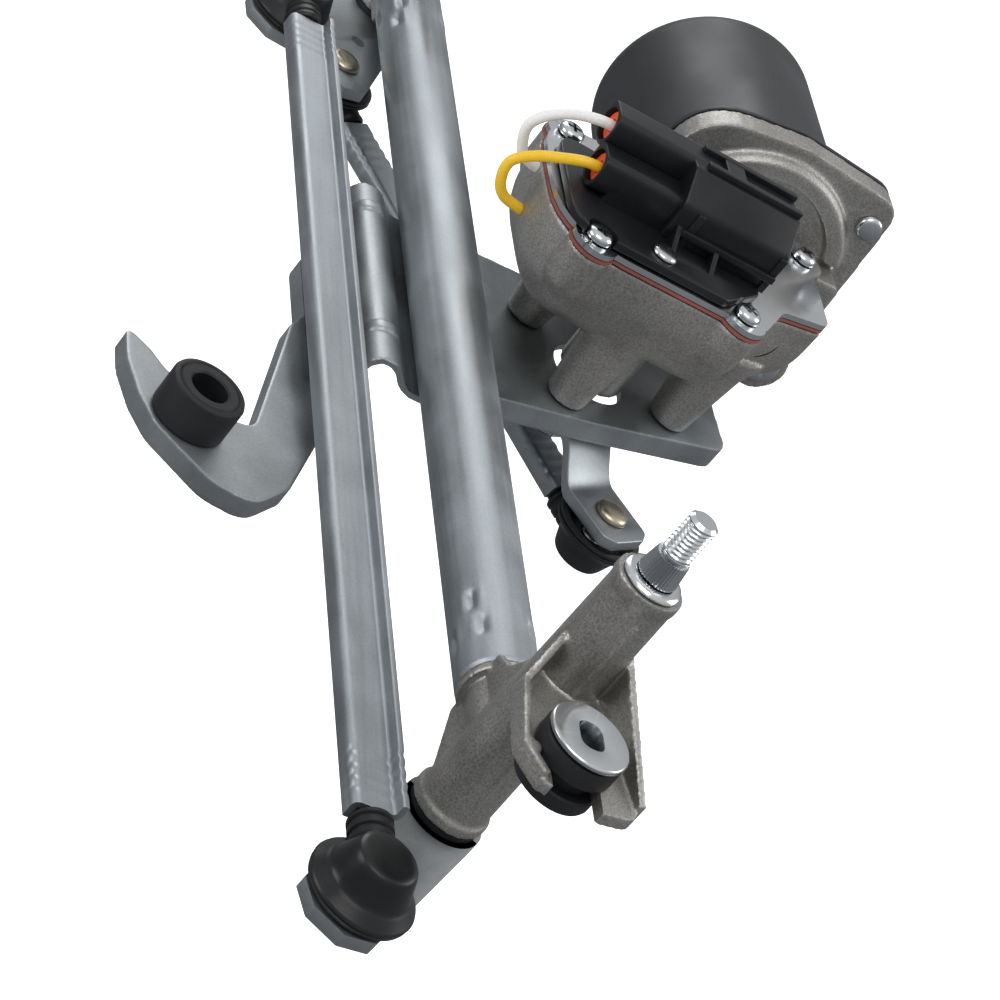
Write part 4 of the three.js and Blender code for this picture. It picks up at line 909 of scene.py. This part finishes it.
def build_can():
    """A drawn steel can with a flange plate, a domed end and a bearing boss."""
    radius, inner, length, dome = CAN_RADIUS, CAN_RADIUS - CAN_WALL, CAN_LENGTH, CAN_DOME
    middle = radius - dome, length - dome
    outside = [(radius, 0), (radius, 3), (radius - 0.1, 26), *arc(dome, 0, QUARTER, 18, *middle),
               (13, length), (11.2, length + 0.4), (10, length + 1.6), (9.6, length + 3.8),
               (8.4, length + 5), (0, length + 5)]
    inside = [(0, length + 3.2), (5, length + 3.2), (5, length - CAN_WALL),
              *arc(dome - CAN_WALL, QUARTER, 0, 18, *middle), (inner, 0)]
    can = move(along_x(turned(outside + inside, 160)), CAN_FROM, WORM_Y, WORM_Z)
    rim = soften(end_slab(rounded(yoke_outline()), CAN_FROM, CAN_FROM + CAN_RIM), 0.35)
    rim = cut(rim, on_worm_axis(rod(inner + 0.6, CAN_FROM - 1, CAN_FROM + 5, 160)))
    skin(fuse(can, rim), "motor_can", PAINT, 40)


def pan_screw(head, height, shank, length):
    """A pan-head screw with a cross recess."""
    body = turned([(0, -length), (shank, -length), (shank, GAP), (head - 0.3, GAP), (head, GAP + 0.3),
                   (head, height * 0.45), (head * 0.93, height * 0.72), (head * 0.72, height * 0.95),
                   (head * 0.5, height), (0, height)], 64)
    arm, width, low = head * 0.55, head * 0.13, height * 0.3
    return cut(body, block(-arm, arm, -width, width, low, height + 1),
               block(-width, width, -arm, arm, low, height + 1))


def build_fasteners():
    top = CASE_TOP + 2 * GAP + GASKET + COVER_THICK
    for i, (x, y) in enumerate(SCREWS):
        screw = turn(pan_screw(4.3, 3, 2, 12), i * 34 + 18, "Z")
        skin(move(screw, x, y, top), f"cover_screw_{i + 1}", BRIGHT, 35)
    for i, (x, y) in enumerate(FEET):
        head = soften(rod(5.2, GAP + 0.8, 4.4, 6), 0.3)
        washer = turned([(0, GAP), (5.8, GAP), (5.8, 0.9), (5.2, 1.5), (0, 1.5)], 48)
        bolt = turn(fuse(head, washer, rod(2.9, -15, 1.2, 40)), 180, "X")
        skin(move(bolt, x, y, PLATE_TOP - SHEET), f"mount_bolt_{i + 1}", BRIGHT, 35)
    screw = turn(turn(pan_screw(6.6, 2, 2.5, 18), 40, "Z"), -90, "Y")
    skin(move(screw, EAR_FROM, *YOKE_SCREW), "yoke_screw", BRIGHT, 35)
    profile = [(0, -8), (2.5, -8), (2.5, GAP), (4.3, GAP), (4.3, 1.1), (3.8, 1.8), (3, 2.2), (0, 2.2)]
    rivet = turn(turned(profile, 48), -90, "Y")
    skin(move(rivet, YOKE_FACE, *YOKE_RIVET), "yoke_rivet", BRIGHT, 50)


# --- Connector and leads ---
def build_connector():
    """The connector on its foot: a keyed mouth towards -Y, and a sleeve with a seal for each lead."""
    x0, x1, mouth_y, wire_y, top = 188, 214, -80, -15.5, 69
    base, foot_thick = CASE_TOP + 3 * GAP + GASKET + COVER_THICK, 2.8
    outline = [(172, -10, 12), (171.5, -64, 4), (184, -78, 4), (x1, -78, 3), (x1 + 4, -10, 8)]
    foot = soften(prism(rounded(outline), base, base + foot_thick), 0.5)
    shell = soften(side_slab(rounded([(x0, base + 1, 3), (x1, base + 1, 3), (x1, top, 3), (x0 + 9, top, 3),
                                      (x0, top - 8, 4)]), mouth_y, -42), 0.5)
    section = rounded([(-6.1, -6.1, 5.4), (6.1, -6.1, 5.4), (6.1, 6.1, 3), (-6.1, 6.1, 3)])
    sleeves = [move(soften(side_slab(section, -46, wire_y), 0.4), x, 0, z) for x, z in BARRELS]
    tail = soften(block(x0 + 2, x1 - 4, -46, wire_y - 6, base + 1, 56), 0.6)
    keys = [soften(block(x - 1.2, x + 1.2, mouth_y, -46, z - 1, z + 1.8), 0.3)
            for x, z in ((x0 + 12, top), (x1 - 5, top))]
    side_key = soften(block(x0 - 1.8, x0 + 1, mouth_y, -46, 52, 54.4), 0.3)
    hoops = [soften(block(x0 - 0.8, x1 + 0.8, y, y + 2.4, base + 2, top - 8.5), 0.3)
             for y in (mouth_y, -50)]
    gussets = [side_slab([(x0 - 8.5, base + 2), (x0 + 0.5, base + 2), (x0 + 0.5, base + 9)], y, y + 1.6)
               for y in (-60, -46)]
    latch = soften(block(x0 + 11, x1 - 4, -60, -53, top - 1, top + 1.6), 0.4)
    body = fuse(foot, shell, tail, *sleeves, *keys, side_key, *hoops, *gussets, latch)
    mouth = side_slab(rounded([(x0 + 2, base + 4, 2), (x1 - 2, base + 4, 2), (x1 - 2, top - 2, 2),
                               (x0 + 10, top - 2, 2), (x0 + 2, top - 9.5, 3)]), mouth_y - 2, mouth_y + 17)
    seats = [move(along_y(rod(5.1, wire_y - 9, wire_y + 2)), x, 0, z) for x, z in BARRELS]
    body = cut(body, mouth, *seats, *rods_at(SCREWS, 5, 30, 60, 64),
               *rods_at([RIVET_SPOT], RIVET_HOLE, 30, 60))
    skin(body, "connector_housing", PLASTIC)
    rivet = turned([(0, -4.4), (1.9, -4.4), (1.9, GAP), (4.2, GAP), (4.2, 0.8), (3.7, 1.3), (2.9, 1.6),
                    (0, 1.6)], 48)
    skin(move(rivet, *RIVET_SPOT, base + foot_thick), "connector_rivet", BRIGHT, 50)
    for i, (x, z) in enumerate(BARRELS):
        seal = turned([(2, wire_y - 7), (4.8, wire_y - 7), (4.8, wire_y - 2), (4.3, wire_y - 1.5),
                       (2, wire_y - 1.5)])
        skin(move(along_y(seal), x, 0, z), f"wire_seal_{i + 1}", ORANGE)


def build_wires():
    """Each lead loops out of its sleeve and down into the gear case.

    The points of its route are X and Z from the sleeve's middle, and Y in the frame.
    """
    white = [(0, -20, 0), (0, -13, -0.4), (1, -6, -3), (1.5, 0, -7.5), (2, 2.8, -13), (2, 1.2, -18.6),
             (1.6, -2.2, -22.6), (1.5, -9.5, -24)]
    yellow = [(0, -20, 0), (0, -13, -0.6), (1.5, -7, -3.8), (3, -0.5, -8), (4, 4, -13.4), (4, 3.2, -19.6),
              (4, -1, -24.4), (4, -10, -26)]
    leads = (("wire_white", WHITE, white), ("wire_yellow", YELLOW, yellow))
    for (name, material, route), (x, z) in zip(leads, BARRELS):
        points = smooth_path([(x + dx, y, z + dz) for dx, y, dz in route], 12)
        piece = skin(sweep(points, WIRE_RADIUS, 28), name, material)


# --- Crank ---
def crank_drop(x):
    """How far the crank arm has stepped down from its hub at x along it, from 0 to 1."""
    t = min(max((x - 11) / 16, 0), 1)
    return t * t * (3 - 2 * t)


def crank_blank():
    """The arm's outline cut into strips across it, which are then stepped down from the hub."""
    end, half = CRANK_RADIUS + 11, CRANK_HALF
    outline = rounded([(-11.5, -half, 10), (end - 3, -half, 3), (end, -half + 4, 2), (end, half - 4, 2),
                       (end - 3, half, 3), (-11.5, half, 10)], 10)
    piece = prism(outline, CRANK_HUB - CRANK_THICK, CRANK_HUB)
    work = bmesh.new()
    work.from_mesh(piece.data)
    for x in range(9, 30):
        everything = list(work.verts) + list(work.edges) + list(work.faces)
        bmesh.ops.bisect_plane(work, geom=everything, plane_co=(x * MM, 0, 0), plane_no=(1, 0, 0))
    for vertex in work.verts:
        vertex.co.z += (CRANK_END - CRANK_HUB) * crank_drop(vertex.co.x / MM) * MM
    work.to_mesh(piece.data)
    work.free()
    return piece


def build_crank():
    arm = cut(crank_blank(), rod(4.5, -60, 0, 40), move(rod(BALL_HOLE, -60, 0, 40), CRANK_RADIUS))
    arm = turn(soften(arm, 0.5), BACK_TO_CRANK, "Z")
    skin(move(arm, *OUTPUT), "crank_arm", SHEET_ZINC, 30)
    top = CRANK_HUB - CRANK_THICK - GAP
    collar = turned([(0, top - 1.4), (8.4, top - 1.4), (8.6, top - 1), (8.6, top), (0, top)])
    nut = fuse(soften(rod(7.6, top - 6.4, top - 1, 6), 0.4), collar)
    skin(move(cut(nut, rod(4.5, -60, 0, 40)), *OUTPUT), "crank_nut", BRIGHT, 35)
    z = CRANK_END - CRANK_THICK
    skin(move(lone_rivet(CRANK_THICK, True), CRANK_X, CRANK_Y, z), "crank_rivet", BRONZED)
    skin(move(lone_ball(True), CRANK_X, CRANK_Y, z), "crank_ball", BRIGHT)


# --- Pieces that keep their CAD shape ---
def dress_cad_nodes():
    looks = {"output_shaft": BRIGHT, "worm_gear": ACETAL, "armature_shaft": BRIGHT, "armature_core": COPPER,
             "commutator": COPPER, "magnet_upper": FERRITE, "magnet_lower": FERRITE, "brush_card": PLASTIC,
             "connector_terminals": BRASS}
    for node, material in looks.items():
        obj = frame["nodes"][node]
        obj.data.materials.clear()
        obj.data.materials.append(material)


# --- Floor, light and camera ---
def build_stage():
    half, drop_to_floor = 4.0, 0.34
    low = CAD_BOX[0][2] - drop_to_floor
    mesh = bpy.data.meshes.new("floor")
    mesh.from_pydata([(-half, -half, low), (half, -half, low), (half, half, low), (-half, half, low)], [],
                     [(0, 1, 2, 3)])
    floor = placed("floor", mesh)
    material = bpy.data.materials.new("floor")
    material.use_nodes = True
    surface = material.node_tree.nodes["Principled BSDF"]
    surface.inputs["Base Color"].default_value = (0.9, 0.9, 0.9, 1)
    surface.inputs["Roughness"].default_value = 0.9
    surface.inputs["Emission Color"].default_value = (1, 1, 1, 1)
    surface.inputs["Emission Strength"].default_value = 0.62
    mesh.materials.append(material)
    floor.visible_glossy = False


def area_light(name, place, target, size, power):
    data = bpy.data.lights.new(name, "AREA")
    data.shape, data.size, data.energy = "SQUARE", size, power
    light = placed(name, data)
    light.location = place
    light.rotation_euler = (Vector(target) - Vector(place)).to_track_quat("-Z", "Y").to_euler()


def build_world():
    """A soft studio: dark below the horizon and brighter overhead, so that round metal shows its form."""
    world = bpy.data.worlds.new("world")
    world.use_nodes = True
    nodes, links = world.node_tree.nodes, world.node_tree.links
    place = nodes.new("ShaderNodeTexCoord").outputs["Generated"]
    split = nodes.new("ShaderNodeSeparateXYZ")
    links.new(place, split.inputs["Vector"])
    ramp = nodes.new("ShaderNodeValToRGB")
    below, above = ramp.color_ramp.elements
    below.color, above.color = (0.10, 0.10, 0.11, 1), (1.0, 1.0, 1.0, 1)
    ramp.color_ramp.elements.new(0.5).color = (0.34, 0.35, 0.37, 1)
    scale = nodes.new("ShaderNodeMapRange")
    scale.inputs["From Min"].default_value, scale.inputs["From Max"].default_value = -1, 1
    links.new(split.outputs["Z"], scale.inputs["Value"])
    links.new(scale.outputs["Result"], ramp.inputs["Fac"])
    links.new(ramp.outputs["Color"], nodes["Background"].inputs["Color"])
    nodes["Background"].inputs["Strength"].default_value = 0.85
    bpy.context.scene.world = world


def build_lights():
    build_world()
    middle = (0.17, -0.03, 0.02)
    area_light("key", (-0.35, 0.25, 1.1), middle, 0.7, 4)
    area_light("left", (0.15, 0.95, 0.35), middle, 0.5, 2.6)
    area_light("right", (0.2, -1.0, 0.6), middle, 0.6, 3.4)
    area_light("back", (1.15, 0.1, 0.55), middle, 0.6, 3)
    bpy.context.scene.view_settings.view_transform = "Standard"


def build_camera():
    data = bpy.data.cameras.new("camera")
    data.sensor_width, data.lens = 36, 112.6
    camera = placed("camera", data)
    right, up = Vector((-0.0911, -0.8194, 0.5660)), Vector((0.6364, 0.3893, 0.6660))
    back = -Vector((0.7660, -0.4209, -0.4860))
    turned_to = Matrix((right, up, back)).transposed().to_quaternion().to_matrix().to_4x4()
    camera.matrix_world = Matrix.Translation((-0.5464, 0.3452, 0.4096)) @ turned_to
    bpy.context.scene.camera = camera


build_camera()
build_stage()
build_lights()
build_tube()
build_pivot("near", NEAR)
build_pivot("far", FAR)
build_levers()
build_rods()
build_bracket()
build_arm()
build_case()
build_cover()
build_can()
build_fasteners()
build_connector()
build_wires()
build_crank()
dress_cad_nodes()
